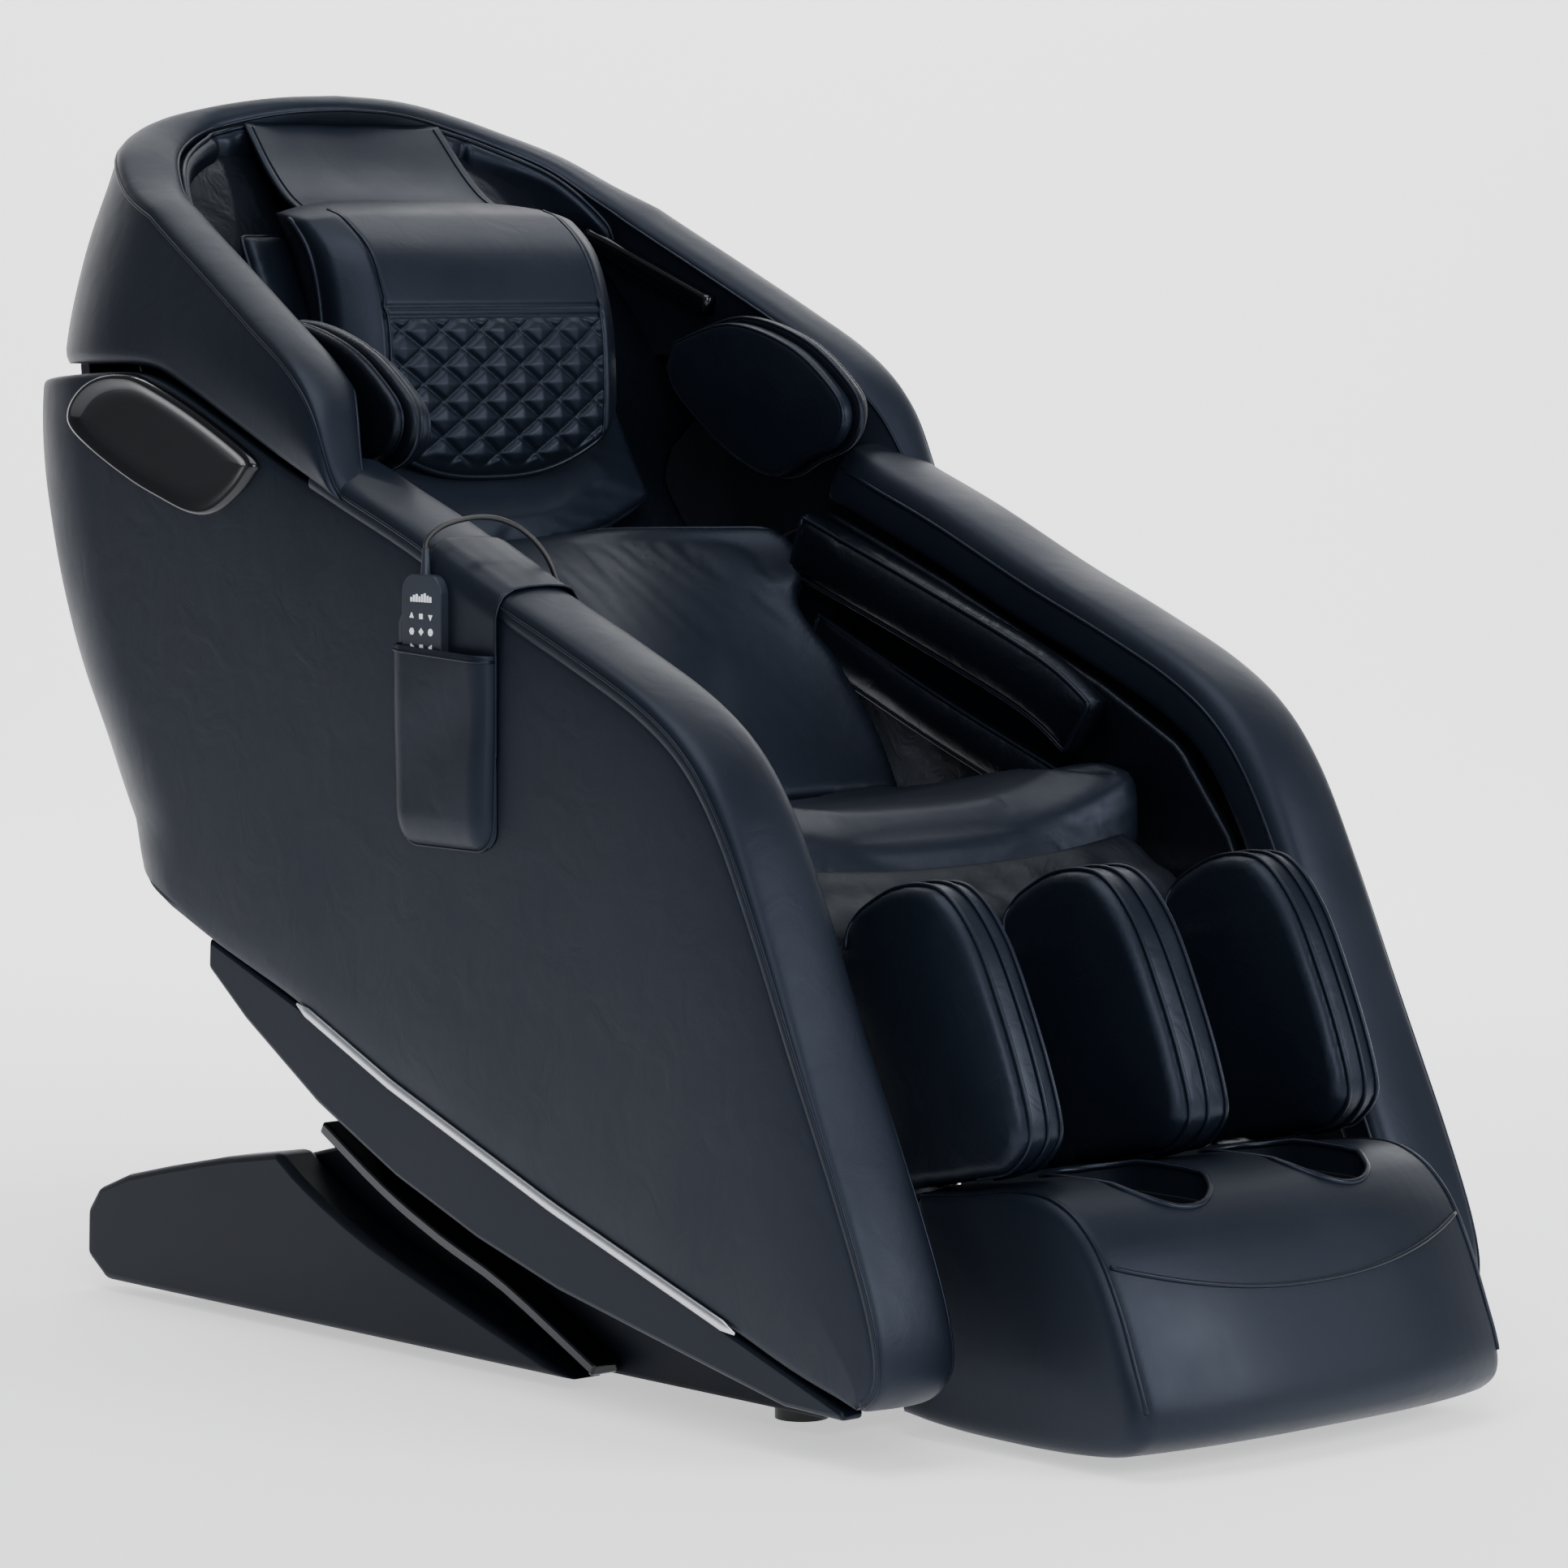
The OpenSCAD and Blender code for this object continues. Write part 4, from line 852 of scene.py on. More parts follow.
# ---- Shoulder airbags --------------------------------------------------------------------------------
# Three leather layers stacked against each wing, each with a welt at its rim. The layer
# nearest the sitter is the thickest.
shoulder_x = (260, 276, 289)
shoulder_thick = (18, 13, 12)
shoulder_shrink = (0.0, -5.0, -1.0)
shoulder_shift = np.array([(0.0, 0.0), (-4.0, 2.0), (4.0, 5.0)])
shoulder_line = spline([[450, 940], [364, 960], [272, 938], [208, 896], [192, 868], [208, 840], [252, 824],
                        [302, 806], [374, 834], [444, 884], [462, 914]], 5)
for side_name, side in (("left", 1), ("right", -1)):
    for layer, inner_x in enumerate(shoulder_x):
        shape = inward(evenly(shoulder_line, 90, closed=True), shoulder_shrink[layer])
        shape = shape + shoulder_shift[layer]
        low_x, high_x = sorted((side * inner_x, side * (inner_x + shoulder_thick[layer])))
        crown = 4 if layer == 0 and side > 0 else 0
        pad = slab_pad("shoulder_pad_%s_%d" % (side_name, layer + 1), shape, low_x, high_x, 6.5,
                       soft_leather if layer == 0 else black_leather, crown, 90)
        if layer == 0:
            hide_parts("shoulder_airbag_" + side_name)
        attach(pad, "backrest")
        edge_line = np.c_[np.full(90, side * (inner_x + 2.5)), inward(shape, 2.2)]
        welt = tube_along("shoulder_welt_%s_%d" % (side_name, layer + 1), edge_line * MM, 0.0021,
                          piping_leather, closed=True)
        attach(welt, "backrest")

# ---- Back cushions -----------------------------------------------------------------------------------
# The upper cushion hangs behind the pillow and wraps a little forwards; the lumbar cushion
# below it has a lobe at each side of the waist. Both have a welt round their edge.
back_table = [[490, 110], [560, 160], [630, 225], [690, 305], [745, 395], [800, 445], [900, 500],
              [1000, 555], [1060, 590], [1120, 635], [1160, 680]]


def cushion(name, front, back, radius, material, size):
    """A closed cushion between a front and a back grid: near its four edges the two come
    together like a quarter circle of that radius, by the distance to the edge."""
    rows, columns = front.shape[:2]
    s = np.linspace(-1, 1, columns)
    t = np.linspace(-1, 1, rows)
    near_s = (1 - np.abs(s)) * size[0] / 2
    near_t = (1 - np.abs(t)) * size[1] / 2
    e_s = np.sqrt(1 - (1 - np.clip(near_s / radius, 0, 1))**2)
    e_t = np.sqrt(1 - (1 - np.clip(near_t / radius, 0, 1))**2)
    share = np.maximum(e_s[None, :] * e_t[:, None], 0.06)[..., None]
    middle = (front + back) / 2
    return thick_sheet(name, middle + (front - middle) * share, (back - front) * share, material)


def rim_of(front, back):
    """The closed line round the middle of a cushion's edge, as a ring of points."""
    middle = (front + back) / 2
    return np.concatenate([middle[0, :-1], middle[:-1, -1], middle[-1, :0:-1], middle[:0:-1, 0]])


upper_s = np.linspace(-1, 1, 71)[None, :]
upper_t = np.linspace(0, 1, 60)[:, None]
upper_z = (741 + 46 * np.abs(upper_s)**2.6) * (1 - upper_t) + 1050 * upper_t
upper_x = 207 * upper_s * (1 - 0.05 * upper_t)
upper_front = np.stack([np.broadcast_to(upper_x, upper_z.shape),
                        looked(upper_z, back_table) - 4 - 16 * np.abs(upper_s)**3, upper_z], -1)
upper_back = upper_front + np.array([0, 22.0, -8.0])
upper = cushion("upper_cushion", upper_front, upper_back, 9.0, navy_leather, (414, 310))
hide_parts("upper_back_pad")
filled(upper, 3.0, 0.006, lambda p: (np.abs(p[:, 0]) > 190) | (p[:, 2] > 1030))
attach(upper, "backrest")
upper_rim = evenly(rim_of(upper_front, upper_back), 320, closed=True)
seam_on(upper, "upper_welt", upper_rim, 0.0026, 0.0006, "backrest", closed=True)

lumbar_s = np.linspace(-1, 1, 81)[None, :]
lumbar_t = np.linspace(0, 1, 64)[:, None]
lumbar_top = 758 - 4 * np.cos(lumbar_s * 5.0) * (1 - np.abs(lumbar_s)) + 4 * np.abs(lumbar_s)**2
lumbar_z = 500 * (1 - lumbar_t) + lumbar_top * lumbar_t
lumbar_height = 500 + 258 * lumbar_t
lumbar_width = looked(lumbar_height, [[480, 244], [500, 246], [560, 247], [620, 243], [670, 236],
                                      [696, 246], [720, 272], [740, 279], [752, 272], [760, 256]])
lumbar_fore = looked(lumbar_height, [[480, 20], [500, 24], [560, 34], [620, 44], [680, 64], [710, 96],
                                     [740, 108], [760, 106]])
lumbar_front = np.stack([lumbar_width * lumbar_s, looked(lumbar_z, back_table) - 14
                         - lumbar_fore * np.abs(lumbar_s)**3.0, lumbar_z + 0 * lumbar_width], -1)
lumbar_back = lumbar_front + np.array([0, 34.0, -16.0])
lumbar = cushion("lumbar_cushion", lumbar_front, lumbar_back, 15.0, navy_leather, (500, 300))
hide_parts("lumbar_pad")
filled(lumbar, 3.0, 0.006, lambda p: (np.abs(p[:, 0]) > 232) | (p[:, 2] > 742) | (p[:, 2] < 514))
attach(lumbar, "backrest")
lumbar_rim = evenly(rim_of(lumbar_front, lumbar_back), 340, closed=True)
seam_on(lumbar, "lumbar_welt", lumbar_rim, 0.0026, 0.0006, "backrest", closed=True)

# ---- Inner lining and corner pads --------------------------------------------------------------------
# A black lining closes the hood behind the cushions at each side of the rollers' slot, and a
# soft pad with a welt and one fold follows each of its top corners.
lining_t = np.linspace(0, 1, 60)[:, None]
lining_z = 742 + 408 * lining_t
lining_wide = np.interp(lining_z, [742, 800, 830, 862, 922, 938, 960, 1000, 1050, 1100, 1150],
                        [258, 264, 290, 342, 346, 326, 308, 290, 268, 226, 150])
slot_half = 112
lining_x = slot_half + (lining_wide - slot_half) * np.linspace(0, 1, 24)[None, :]
lining_y = np.broadcast_to(looked(lining_z, back_table) + 22, lining_x.shape)
lining_grid = np.stack([lining_x, lining_y, np.broadcast_to(lining_z, lining_x.shape)], -1)
for side_name, side in (("left", 1), ("right", -1)):
    hood_lining = thick_sheet("hood_lining_" + side_name, lining_grid * [side, 1, 1],
                              np.array([0.0, 4.0, -2.0]), black_leather)
    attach(hood_lining, "backrest")
corner_s = np.linspace(-1, 1, 61)[None, :]
corner_t = np.linspace(0, 1, 40)[:, None]
corner_u = 1.70 + 0.62 * corner_s
corner_top = looked(np.clip(corner_u - 1, 0, 2), corner_table) - 20 - 14 * np.abs(corner_s)**6
corner_foot = 1016 + 30 * (corner_s + 1) / 2 + 16 * np.abs(corner_s)**6
corner_z = corner_foot * (1 - corner_t) + corner_top * corner_t
corner_wall = hood_wall * (1 - 0.4 * np.clip(corner_u - 1, 0, 1)) + 0 * corner_z
corner_puff = 15 - 6 * np.exp(-((corner_s - 0.30) / 0.05)**2) + 1.5 * np.sin(corner_t * 8 + corner_s * 5)
corner_front = hood_place(corner_u + 0 * corner_z, corner_z, corner_wall + corner_puff)
corner_back = hood_place(corner_u + 0 * corner_z, corner_z, corner_wall - 2)
for side_name, side in (("left", 1), ("right", -1)):
    front, back = corner_front * [side, 1, 1], corner_back * [side, 1, 1]
    pad = cushion("corner_pad_" + side_name, front, back, 14.0, soft_leather, (230, 110))
    if side > 0:
        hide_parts("hood_corner_pads")
    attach(pad, "backrest")
    corner_rim = evenly(rim_of(front, back), 160, closed=True)
    seam_on(pad, "corner_welt_" + side_name, corner_rim, 0.0024, 0.001, "backrest", closed=True)

# ---- Pillow --------------------------------------------------------------------------------------------
# A thick head pillow that hangs from a leather flap on the hood. Below a double seam its front
# is quilted in diamonds: creases about 4 mm deep along two sets of slanted lines, puffed between.
pillow_s = np.linspace(-1, 1, 181)[None, :]
pillow_t = np.linspace(0, 1, 151)[:, None]
pillow_half = 192.0
panel_half = 138.0
pillow_low = 807 + 78 * np.abs(pillow_s)**2.7
pillow_high = 1083 - 14 * np.abs(pillow_s)**4
pillow_z = pillow_low * (1 - pillow_t) + pillow_high * pillow_t
pillow_x = pillow_half * pillow_s * (1 - 0.05 * pillow_t)
face_curve = spline([[796, 428], [812, 420], [860, 413], [930, 415], [980, 423], [1030, 444], [1062, 480],
                     [1080, 520], [1085, 562]], 8)


def pillow_face(x, z):
    """How far back the pillow's face lies: its side view curve, and beyond the panel's edge it
    falls back by 44 mm times the gusset's share to the power 1.4."""
    gusset_share = np.clip((np.abs(x) - panel_half) / 54, 0, 1)
    return np.interp(z, face_curve[:, 0], face_curve[:, 1]) + 44 * gusset_share**1.4


face_y = pillow_face(pillow_x, pillow_z)
pillow_front = np.stack([pillow_x + 0 * pillow_z, face_y, pillow_z], -1)
rear_y = np.maximum(looked(pillow_z, back_table) - 6, face_y + 8)
pillow_rear = np.stack([0.80 * pillow_x + 0 * pillow_z, rear_y, pillow_z], -1)
slant = 0.72
cell = 35.0
first_set = (pillow_x * slant + (pillow_z - 972)) / cell
second_set = (pillow_x * slant - (pillow_z - 972)) / cell
away_first = np.abs(first_set - np.round(first_set)) * cell
away_second = np.abs(second_set - np.round(second_set)) * cell
crease = np.exp(-(away_first / 3.0)**2) + np.exp(-(away_second / 3.0)**2)
puff = np.minimum(away_first, away_second) / (cell / 2)
inside = np.clip((135 - np.abs(pillow_x)) / 5, 0, 1) * np.clip((966 - pillow_z) / 5, 0, 1) \
    * np.clip((pillow_z - pillow_low - 12) / 8, 0, 1)
seam_top = np.exp(-((pillow_z - 968) / 2.2)**2) + np.exp(-((pillow_z - 978) / 2.2)**2)
seam_side = np.exp(-((np.abs(pillow_x) - panel_half) / 2.4)**2)
panel_gate = np.clip((141 - np.abs(pillow_x)) / 3, 0, 1)
belly = 9 * (1 - np.abs(pillow_s)**2.2) * np.maximum(np.sin(pillow_t * math.pi), 0)**0.6
quilting = inside * (5.0 * np.clip(puff, 0, 1)**0.6 - 3.6 * np.minimum(crease, 1))
pillow_front[..., 1] -= belly + quilting - 2.4 * seam_top * panel_gate - 3.0 * seam_side
pillow = cushion("pillow_body", pillow_front, pillow_rear, 16.0, navy_leather, (384, 280))
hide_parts("pillow")
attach(pillow, "head_cushion")
gusset_z = np.linspace(845, 1078, 60)
for side_name, side in (("left", 1), ("right", -1)):
    gusset = np.c_[np.full(60, side * panel_half), pillow_face(panel_half, gusset_z) - 6, gusset_z]
    seam_on(pillow, "pillow_gusset_" + side_name, gusset, 0.0014, 0.0003, "head_cushion")
lower_s = np.linspace(-0.985, 0.985, 140)
lower_z = 808 + 78 * np.abs(lower_s)**2.7
lower_rim = np.c_[pillow_half * lower_s, pillow_face(pillow_half * lower_s, lower_z) + 4, lower_z]
side_z = np.linspace(890, 1064, 50)
side_x = pillow_half * (1 - 0.05 * (side_z - 885) / 190)
side_rim = np.c_[side_x, pillow_face(side_x, side_z) + 10, side_z]
pillow_rim = np.concatenate([(side_rim * [-1, 1, 1])[::-1], lower_rim, side_rim])
seam_on(pillow, "pillow_welt", evenly(pillow_rim, 280), 0.0032, 0.0006, "head_cushion")

# ---- Pillow flap --------------------------------------------------------------------------------------
# A leather flap from the hood's rim down to the pillow's top, slightly slack, with a seam
# along each side.
flap_line = evenly(spline([[663, 1158], [650, 1144], [620, 1112], [590, 1086], [560, 1070]], 8), 34)
flap_s = np.linspace(-1, 1, 60)[None, :]
flap_way = beside(flap_line, 1.0) - flap_line
flap_sag = 4 * np.sin(np.linspace(0, math.pi, 34))[:, None] * (1 - flap_s**2) \
    + 0.5 * np.cos(flap_s * 9 + np.linspace(0, 3, 34)[:, None] * 2)
flap_wide = np.linspace(124, 132, 34)[:, None]
flap_front = np.stack([flap_wide * flap_s, flap_line[:, None, 0] + flap_way[:, None, 0] * (flap_sag - 2),
                       flap_line[:, None, 1] + flap_way[:, None, 1] * (flap_sag - 2)], -1)
flap = thick_sheet("flap", flap_front, np.array([0.0, 3.0, -3.0]), smooth_leather)
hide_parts("pillow_flap")
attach(flap, "head_cushion")
for side_name, column in (("left", -3), ("right", 2)):
    seam_on(flap, "flap_seam_" + side_name, flap_front[1:-1, column], 0.0012, 0.0003, "head_cushion")

# ---- Arms: side panels ------------------------------------------------------------------------------
# Each side panel is one padded sheet stretched between the band's seam, the wing's gap, the
# rear curve and the lower trim; it swells softly and wraps round the rear corner.
arm_edge = spline([[170, 797], [82, 764], [-40, 712], [-148, 670], [-240, 630], [-300, 590], [-345, 535],
                   [-390, 452], [-439, 350], [-503, 219], [-540, 130], [-545, 80], [-520, 56]], 8)
split_line = spline([[170, 797], [263, 829], [345, 863], [427, 896], [480, 912], [525, 916], [580, 914],
                     [640, 910], [690, 906], [733, 903]], 8)
trim_edge = spline([[-520, 56], [-440, 76], [-340, 110], [-122, 183], [109, 269], [250, 330], [396, 385],
                    [434, 432]], 8)
rear_z = np.linspace(432, 900, 60)
rear_edge = np.c_[looked(rear_z, rear_table), rear_z]
rear_edge[0] = [434, 432]
rear_edge[1:6, 0] = np.linspace(434, rear_edge[6, 0], 7)[1:6]
top_edge = np.concatenate([arm_edge[::-1], split_line[1:]])


def panel_depth(y, z):
    """How far in from the arm's side plane the panel lies: none on the flat, and a quarter
    ellipse 95 mm deep and 150 mm long at the rear corner, smaller towards the bottom."""
    size = np.clip((z - 330) / 150, 0.03, 1)
    from_rear = looked(z, rear_table) - y
    return 95 * size * (1 - np.sqrt(1 - (1 - np.clip(from_rear / (150 * size), 0, 1))**2))


across_count, up_count = 150, 44
share = np.linspace(0, 1, across_count)
top_run = evenly(top_edge, 1200)[(share**0.85 * 1199).astype(int)]
low_run = evenly(trim_edge, 1200)[(share**0.85 * 1199).astype(int)]
heights = np.maximum(np.linalg.norm(top_run - low_run, axis=1), 1.0)
edge_steps = np.array([0.0, 0.8, 2.5, 5.0, 9.0])
edge_drop = np.array([5.0, 3.0, 1.3, 0.4, 0.0])
step = edge_steps[:, None] / heights * np.minimum(1.0, heights / 60)
middle = np.linspace(step[-1], 1 - step[-1], up_count - 8)
rise = np.concatenate([step[:-1], middle, 1 - step[-2::-1]])
rear_at = np.stack([np.interp(rise, np.linspace(0, 1, 60), rear_edge[:, k]) for k in (0, 1)], -1)
straight_at = rear_edge[0] + (rear_edge[-1] - rear_edge[0]) * rise[..., None]
panel_yz = low_run[None] * (1 - rise[..., None]) + top_run[None] * rise[..., None] \
    + (rear_at - straight_at) * (share[None, :, None]**1.5)
from_edge = np.minimum(rise, 1 - rise) * heights[None]
panel_in = panel_depth(panel_yz[..., 0], panel_yz[..., 1])
drop = np.interp(from_edge, edge_steps, edge_drop)
swell = 5.0 * (1 - np.exp(-from_edge / 45.0))
panel_x = half_width - panel_in - drop * np.clip(heights[None] / 60, 0.2, 1) + swell - 2.0
panel_grid = np.stack([panel_x, panel_yz[..., 0], panel_yz[..., 1]], -1)
panel_thick = (26.0 - 0.2 * panel_in)[..., None] * [-1.0, 0.0, 0.0]
for side_name, side in (("left", 1), ("right", -1)):
    panel = thick_sheet("side_panel_" + side_name, panel_grid * [side, 1, 1], panel_thick * side,
                        navy_leather)
    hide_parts("arm_panel_" + side_name)
    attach(panel, "arm_" + side_name)

# ---- Arms: bands --------------------------------------------------------------------------------------
# A padded band over the top and front of each arm: its outer seam lies on the side panel's
# edge, its crown stands 18 mm above that at the back and 5 mm at the nose, and its inner edge
# has a welt.
band_path = evenly(np.concatenate([[[232, 821], [200, 809]], arm_edge[:-1], [[-522, 58]]]), 190)
band_run = np.linspace(0, 1, 190)
band_crown = np.interp(band_run, [0, 0.55, 0.8, 1.0], [19, 16, 7, 5])
band_shape = np.array([[3.0, -7.0, 0], [0.6, -3.0, 0], [0.4, 0.6, 0], [1.2, 2.0, 0.25], [4.0, 2.0, 0.6],
                       [10.0, 1.5, 0.86], [20.0, 1.0, 1.0], [36.0, 1.5, 1.1], [56.0, 1.5, 1.12],
                       [74.0, 1.0, 1.02], [84.0, 0.0, 0.85], [90.0, -2.0, 0.5], [93.5, -6.0, 0.2],
                       [95.0, -12.0, 0.0],
                       [95.4, -24.0, 0.0], [95.0, -36.0, 0.0], [91.0, -39.0, 0.0], [60.0, -39.0, 0.0],
                       [20.0, -30.0, 0.0]])
band_way = unit(np.gradient(band_path, axis=0))
band_up = np.c_[band_way[:, 1], -band_way[:, 0]]
thin = np.interp(band_run, [0, 0.93, 1.0], [1.0, 1.0, 0.35])
band_rise = np.where(band_shape[:, 1] < -7.5, band_shape[:, 1] * thin[:, None], band_shape[:, 1])
rise_at = band_rise + band_shape[:, 2] * band_crown[:, None]
band_grid = np.stack([np.broadcast_to(half_width - band_shape[:, 0], rise_at.shape),
                      band_path[:, None, 0] + band_up[:, None, 0] * rise_at,
                      band_path[:, None, 1] + band_up[:, None, 1] * rise_at], -1)
for side_name, side in (("left", 1), ("right", -1)):
    points = band_grid * [side, 1, 1]
    band = outward(plain_mesh("arm_band_pad_" + side_name, points.reshape(-1, 3) * MM,
                              capped(points, len(points), points.shape[1]), navy_leather))
    smooth = band.modifiers.new("round", "SUBSURF")
    smooth.levels = smooth.render_levels = 1
    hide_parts("arm_band_" + side_name)
    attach(band, "arm_" + side_name)
    for welt_name, at, thick in (("outer", 3, 0.0015), ("inner", 12, 0.0022)):
        welt = tube_along("band_welt_%s_%s" % (welt_name, side_name), points[2:-1, at] * MM, thick,
                          piping_leather)
        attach(welt, "arm_" + side_name)

# ---- Arms: linings and airbags ------------------------------------------------------------------------
# The inner face of each arm is soft black leather with two seams, and carries a long airbag
# for the forearm above a thinner one for the hand.
lining_line = np.array([[240, 772], [80, 712], [-148, 618], [-250, 566], [-318, 482], [-352, 400],
                        [-380, 330], [-300, 312], [60, 300], [250, 420], [330, 560], [330, 740]])
lining_face = 285
forearm_line = spline([[246, 772], [60, 706], [-100, 645], [-168, 604]], 8)
forearm_shape = np.concatenate([forearm_line, beside(forearm_line, 66)[::-1]])
hand_line = spline([[235, 672], [60, 600], [-100, 540], [-156, 520]], 8)
hand_shape = np.concatenate([hand_line, beside(hand_line, 50)[::-1]])
for side_name, side in (("left", 1), ("right", -1)):
    body = "arm_" + side_name
    low_x, high_x = sorted((side * lining_face, side * (lining_face + 14)))
    lining = slab_pad("inner_lining_" + side_name, lining_line, low_x, high_x, 5, black_leather, 0, 120)
    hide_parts("arm_lining_" + side_name)
    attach(lining, body)
    for pad_name, node, shape, reach in (("forearm_pad", "forearm_airbag_", forearm_shape, 36),
                                         ("hand_pad", "hand_airbag_", hand_shape, 21)):
        inner_x = side * (lining_face - reach)
        low_x, high_x = sorted((inner_x, side * (lining_face - 0.5)))
        radius = 15 if reach > 30 else 9
        pad = slab_pad("%s_%s" % (pad_name, side_name), shape, low_x, high_x, radius, black_leather, 3, 120)
        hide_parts(node + side_name)
        filled(pad, 4.0, 0.005, lambda p: np.abs(np.abs(p[:, 0]) - lining_face + 1) < 4)
        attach(pad, body)
        seam_in = radius * 0.30
        ring = np.c_[np.full(160, inner_x + side * seam_in), inward(evenly(shape, 160, closed=True), seam_in)]
        seam_on(pad, "%s_welt_%s" % (pad_name, side_name), ring, 0.0024, 0.0008, body, closed=True)

# ---- Arms: trim, light strip and recess cover ------------------------------------------------------------
# Satin trim along the lower edge, a silver strip let in above it, and a gloss recess in the
# panel's upper rear corner with a raised bevelled rim.
silver = brushed("satin_aluminium", "#c9ccd3", 0.34)
strip_path = evenly(np.array([[-369, 101], [-122, 182.5], [109, 268.5], [249, 330]]), 40)
strip_turn = np.arange(12) * 2 * math.pi / 12
strip_ring = np.c_[2.6 * np.cos(strip_turn),
                   5.2 * np.sign(np.sin(strip_turn)) * np.abs(np.sin(strip_turn))**0.7]
strip_ends = np.clip(np.minimum(np.arange(40), 39 - np.arange(40)), 0.25, 1)[:, None, None]
recess = spline([[301, 829], [314, 843], [400, 882], [480, 910], [520, 915], [556, 911], [584, 899],
                 [603, 880], [600, 862], [560, 838], [500, 812], [455, 797], [403, 783], [365, 785],
                 [326, 806], [301, 829]], 8)[:-1]
recess = evenly(recess, 130, closed=True)
recess_middle = recess.mean(0)
recess_rim = ((0.0, -2.5), (3.0, 4.6), (6.0, 5.2), (11.0, 4.4), (16.0, 1.6), (22.0, 1.0))
for side_name, side in (("left", 1), ("right", -1)):
    body = "arm_" + side_name
    trim = eased("lower_trim_" + side_name, "arm_trim_" + side_name, 0.006, satin_black)
    strip = carried_ring(np.c_[np.full(40, side * (half_width + 0.5)), strip_path],
                         strip_ring[None] * strip_ends, (0, 0, 1.0))
    light = outward(plain_mesh("silver_strip_" + side_name, strip.reshape(-1, 3) * MM,
                               capped(strip, len(strip), 12), silver))
    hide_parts("light_strip_" + side_name)
    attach(light, body)
    rings = []
    for move, stand in recess_rim:
        ring = recess_middle + (inward(recess, 0.4 * move) - recess_middle) * (1 - move / 190)
        rings.append(np.c_[side * (half_width + 3 + stand - panel_depth(ring[:, 0], ring[:, 1])), ring])
    last = ring
    for scale in (0.75, 0.5, 0.25, 0.06):
        ring = recess_middle + (last - recess_middle) * scale
        rings.append(np.c_[side * (half_width + 4 - panel_depth(ring[:, 0], ring[:, 1])), ring])
    loops = np.stack(rings[::-1] + [ring - [side * 9.0, 0, 0] for ring in rings])
    cover = outward(plain_mesh("recess_cover_" + side_name, loops.reshape(-1, 3) * MM,
                               capped(loops, len(loops), 130), gloss_black))
    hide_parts("vent_cover_" + side_name)
    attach(cover, body)

# ---- Handset pocket -------------------------------------------------------------------------------------
# A soft leather pocket on the right arm's side, hung from a strap that lies over the band.
pocket_s = np.linspace(-1, 1, 49)[None, :]
pocket_t = np.linspace(0, 1, 50)[:, None]
pocket_high = 674 + 3 * pocket_s
pocket_corner = np.clip((1 - np.abs(pocket_s)) * 70 / 26, 0, 1)
pocket_low = 494 + 24 * (1 - np.sqrt(1 - (1 - pocket_corner)**2))
pocket_z = pocket_low * (1 - pocket_t) + pocket_high * pocket_t
pocket_y = 18 + 70 * pocket_s * (1 - 0.05 * (1 - pocket_t)**2)
near_side = np.clip((1 - np.abs(pocket_s)) * 70 / 22, 0, 1)
near_foot = np.clip(pocket_t * 180 / 30, 0, 1)
bulge = 15 * np.sqrt(1 - (1 - near_side)**2) * np.sqrt(1 - (1 - near_foot)**2)
bulge = bulge + 1.2 * np.sin(pocket_t * 9 + pocket_s * 2) * near_side * near_foot + 0.6
pocket_front = np.stack([-(half_width + 3.2 + bulge), pocket_y + 0 * pocket_z, pocket_z], -1)
front_leaf = thick_sheet("pocket_front", pocket_front, np.array([1.8, 0.0, 0.0]), navy_leather)
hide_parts("handset_pocket")
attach(front_leaf, "arm_right")


strap_side = np.array([[383.4, 494], [383.4, 620]])
strap_over = np.array([[383.2, -3], [382.2, 1.5], [380.0, 8.0], [374.0, 16.0], [362.0, 21.5], [344.0, 23.5],
                       [322.0, 24.0], [304.0, 22.6], [294.0, 19.5], [288.0, 11.0], [284.2, 3.0],
                       [283.6, -10.0]])


def strap_places(y, along):
    """Places on the pocket's back leaf: a line up the side panel to the band's seam and over the
    band's crown to its inner edge, read by its running length from 0 at the foot to 1. The part
    over the band stands on the seam's own height at that y."""
    seam = arm_edge[np.argsort(arm_edge[:, 0])]
    base = np.interp(y, seam[:, 0], seam[:, 1])
    over_band = strap_over * [1, 1.04] + base[..., None, None] * [0, 1]
    up_side = np.broadcast_to(strap_side, (*y.shape, 2, 2))
    line = np.concatenate([up_side, over_band], -2)
    step = np.linalg.norm(np.diff(line, axis=-2), axis=-1)
    run = np.concatenate([0 * step[..., :1], np.cumsum(step, -1)], -1)
    at = along[..., None] * run[..., -1:]
    span = np.clip(np.sum(run <= at, -1, keepdims=True) - 1, 0, step.shape[-1] - 1)
    part = (at - np.take_along_axis(run, span, -1)) / np.take_along_axis(step, span, -1)
    low = np.take_along_axis(line, span[..., None], -2)[..., 0, :]
    high = np.take_along_axis(line, span[..., None] + 1, -2)[..., 0, :]
    return low + (high - low) * part


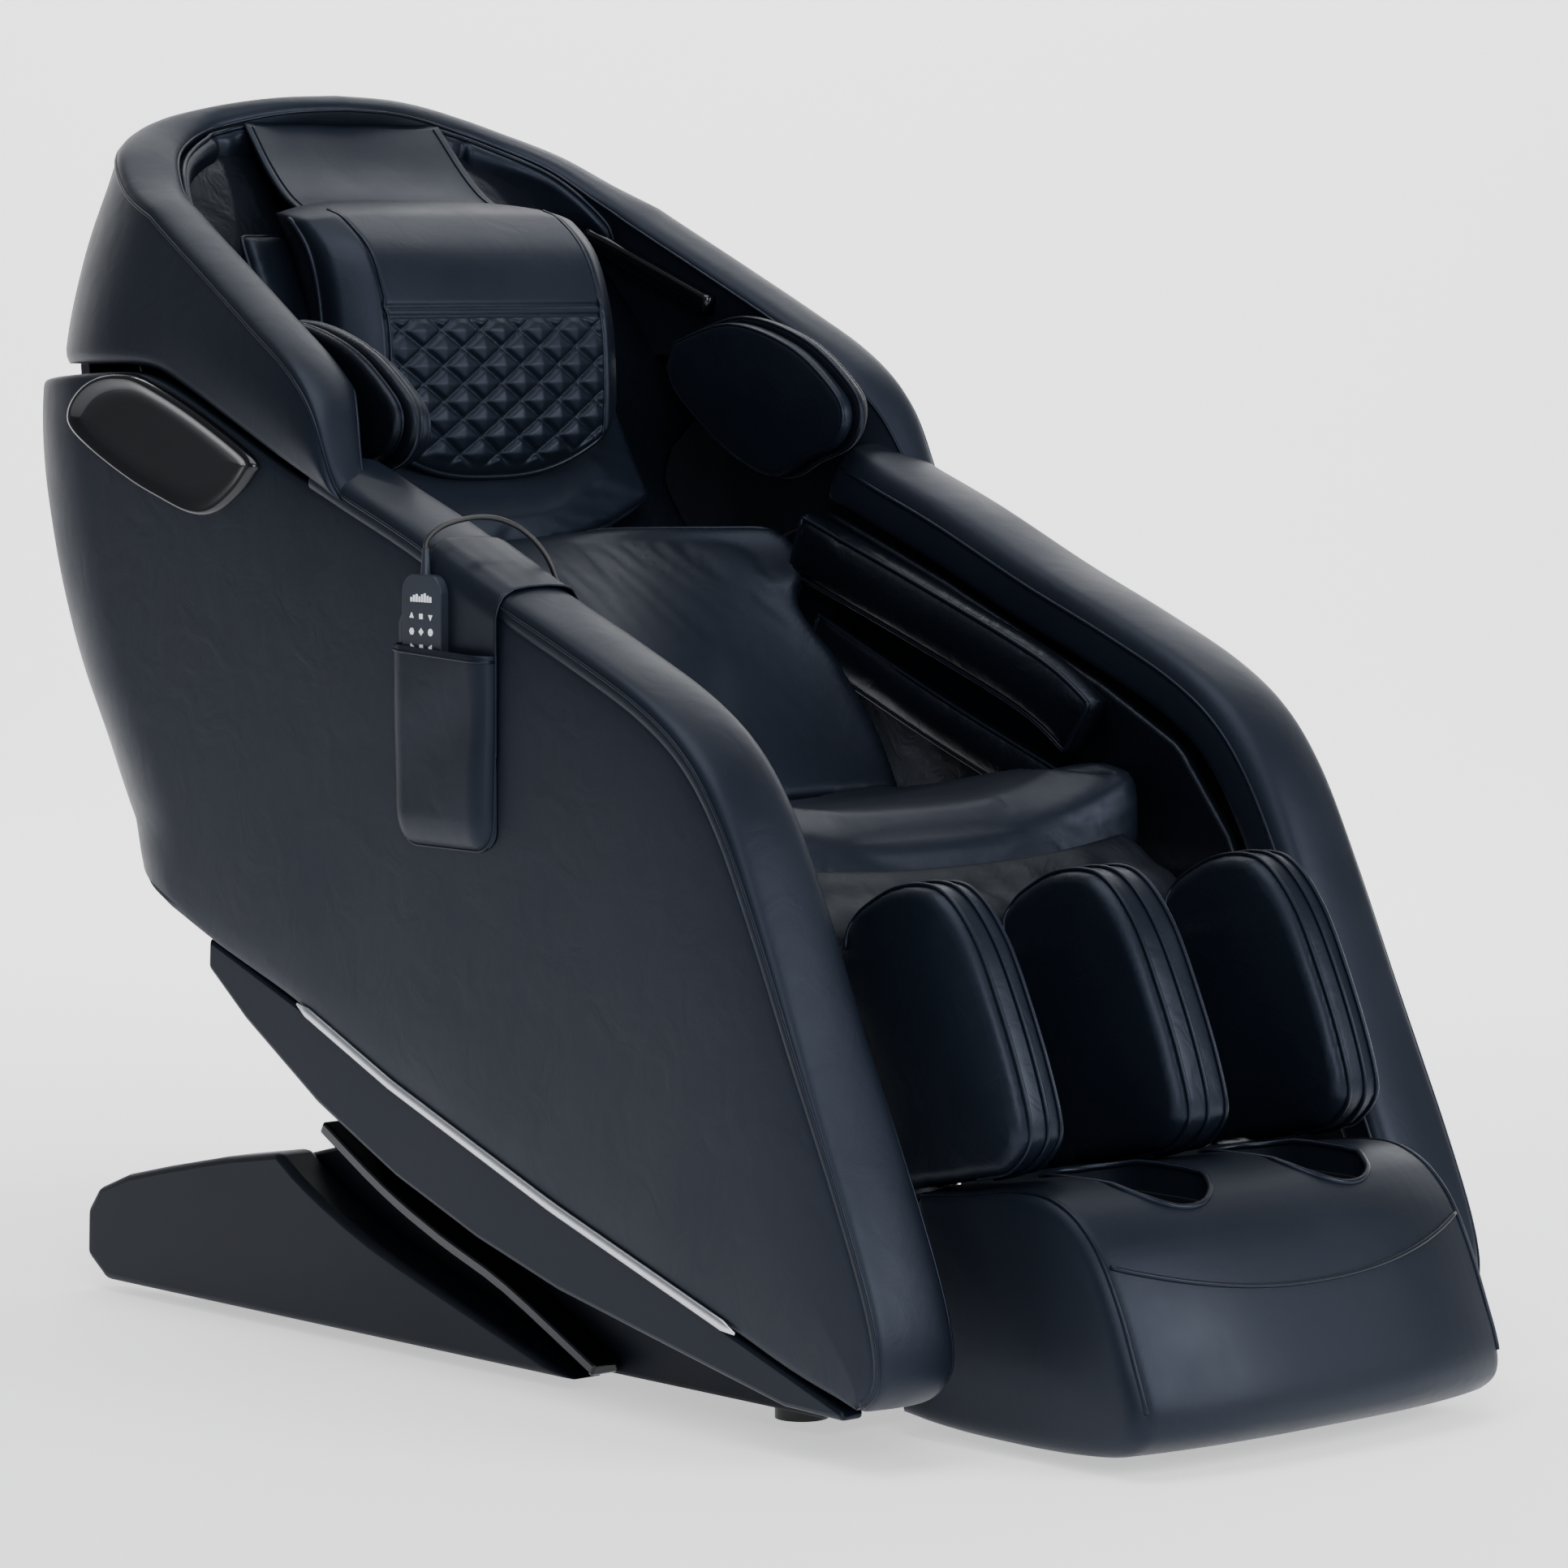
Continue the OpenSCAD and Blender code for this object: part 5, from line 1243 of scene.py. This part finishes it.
strap_along, strap_share = np.meshgrid(np.linspace(0, 1, 90), np.linspace(0, 1, 30), indexing="ij")
rear_side = np.interp(strap_along, [0, 0.5, 0.62, 1], [86, 87, 50, 40])
foot_in = 24 * (1 - np.sqrt(1 - (1 - np.minimum(strap_along * 420 / 24, 1.0))**2))
strap_y = -52 + foot_in + (rear_side + 52 - 2 * foot_in) * strap_share
strap_xz = strap_places(strap_y, strap_along)
strap_grid = np.stack([-strap_xz[..., 0], strap_y, strap_xz[..., 1]], -1)
strap = thick_sheet("pocket_strap", strap_grid, unit([-1.0, 0.0, 0.6]) * 1.5, smooth_leather)
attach(strap, "arm_right")
pocket_edge = np.concatenate([pocket_front[::-1, 0], pocket_front[0, 1:], pocket_front[1:, -1]])
for welt_name, welt_line, thick in (
        ("pocket_welt", evenly(pocket_edge + [-0.6, 0, 0], 180), 0.0016),
        ("pocket_strap_welt", strap_grid[22:-1, 0] + [-1.2, 0, 0.8], 0.0013),
        ("pocket_hem", pocket_front[-2] + [-0.5, 0, -2.0], 0.0014)):
    welt = tube_along(welt_name, welt_line * MM, thick, piping_leather)
    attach(welt, "arm_right")

# ---- Handset --------------------------------------------------------------------------------------------
# A slim black handset with a row of level bars at its top and nine plain printed marks below.
handset_abs = moulded("handset_abs", "#262b34", "#1e222a", 0.34, 0.2)
eased("handset_shell", "handset_case", 0.0022, handset_abs)
white_ink = moulded("white_ink", "#e8ecf2", "#dde2ea", 0.5)


def mark_mesh(name, shapes, node):
    """Flat printed marks: each closed outline (side, up) in mm is raised 0.4 mm off the face."""
    points, faces, start = [], [], 0
    for outline in shapes:
        count = len(outline)
        points += [np.c_[np.full(count, x), 43 - outline[:, 0], outline[:, 1]] for x in (-393.45, -393.9)]
        faces += [[start + corner for corner in face] for face in capped(None, 2, count)]
        start += 2 * count
    piece = outward(plain_mesh(name, np.concatenate(points) * MM, faces, white_ink, smooth=False))
    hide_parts(node)
    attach(piece, "handset")


bar_heights = (4, 6, 7, 5, 7, 8, 6, 5)
bar_corners = np.array([(0, 0), (2.6, 0), (2.6, 1), (0, 1)])
bars = [[x, 716.0] + bar_corners * [1, h] for x, h in zip(np.linspace(-15, 12.4, 8), bar_heights)]
mark_mesh("handset_bars", bars, "handset_screen")
marks = []
mark_kinds = ((3, 90), (4, 45), (3, -90), (6, 0), (4, 0), (12, 0), (3, 0), (4, 45), (3, 180))
for number, (sides, spin) in enumerate(mark_kinds):
    middle = np.array([(number % 3 - 1) * 13.5, 703.0 - number // 3 * 14.0])
    turn = np.radians(spin + 360 * np.arange(sides) / sides)
    marks.append(middle + 3.4 * np.c_[np.cos(turn), np.sin(turn)])
mark_mesh("handset_marks", marks, "handset_keys")
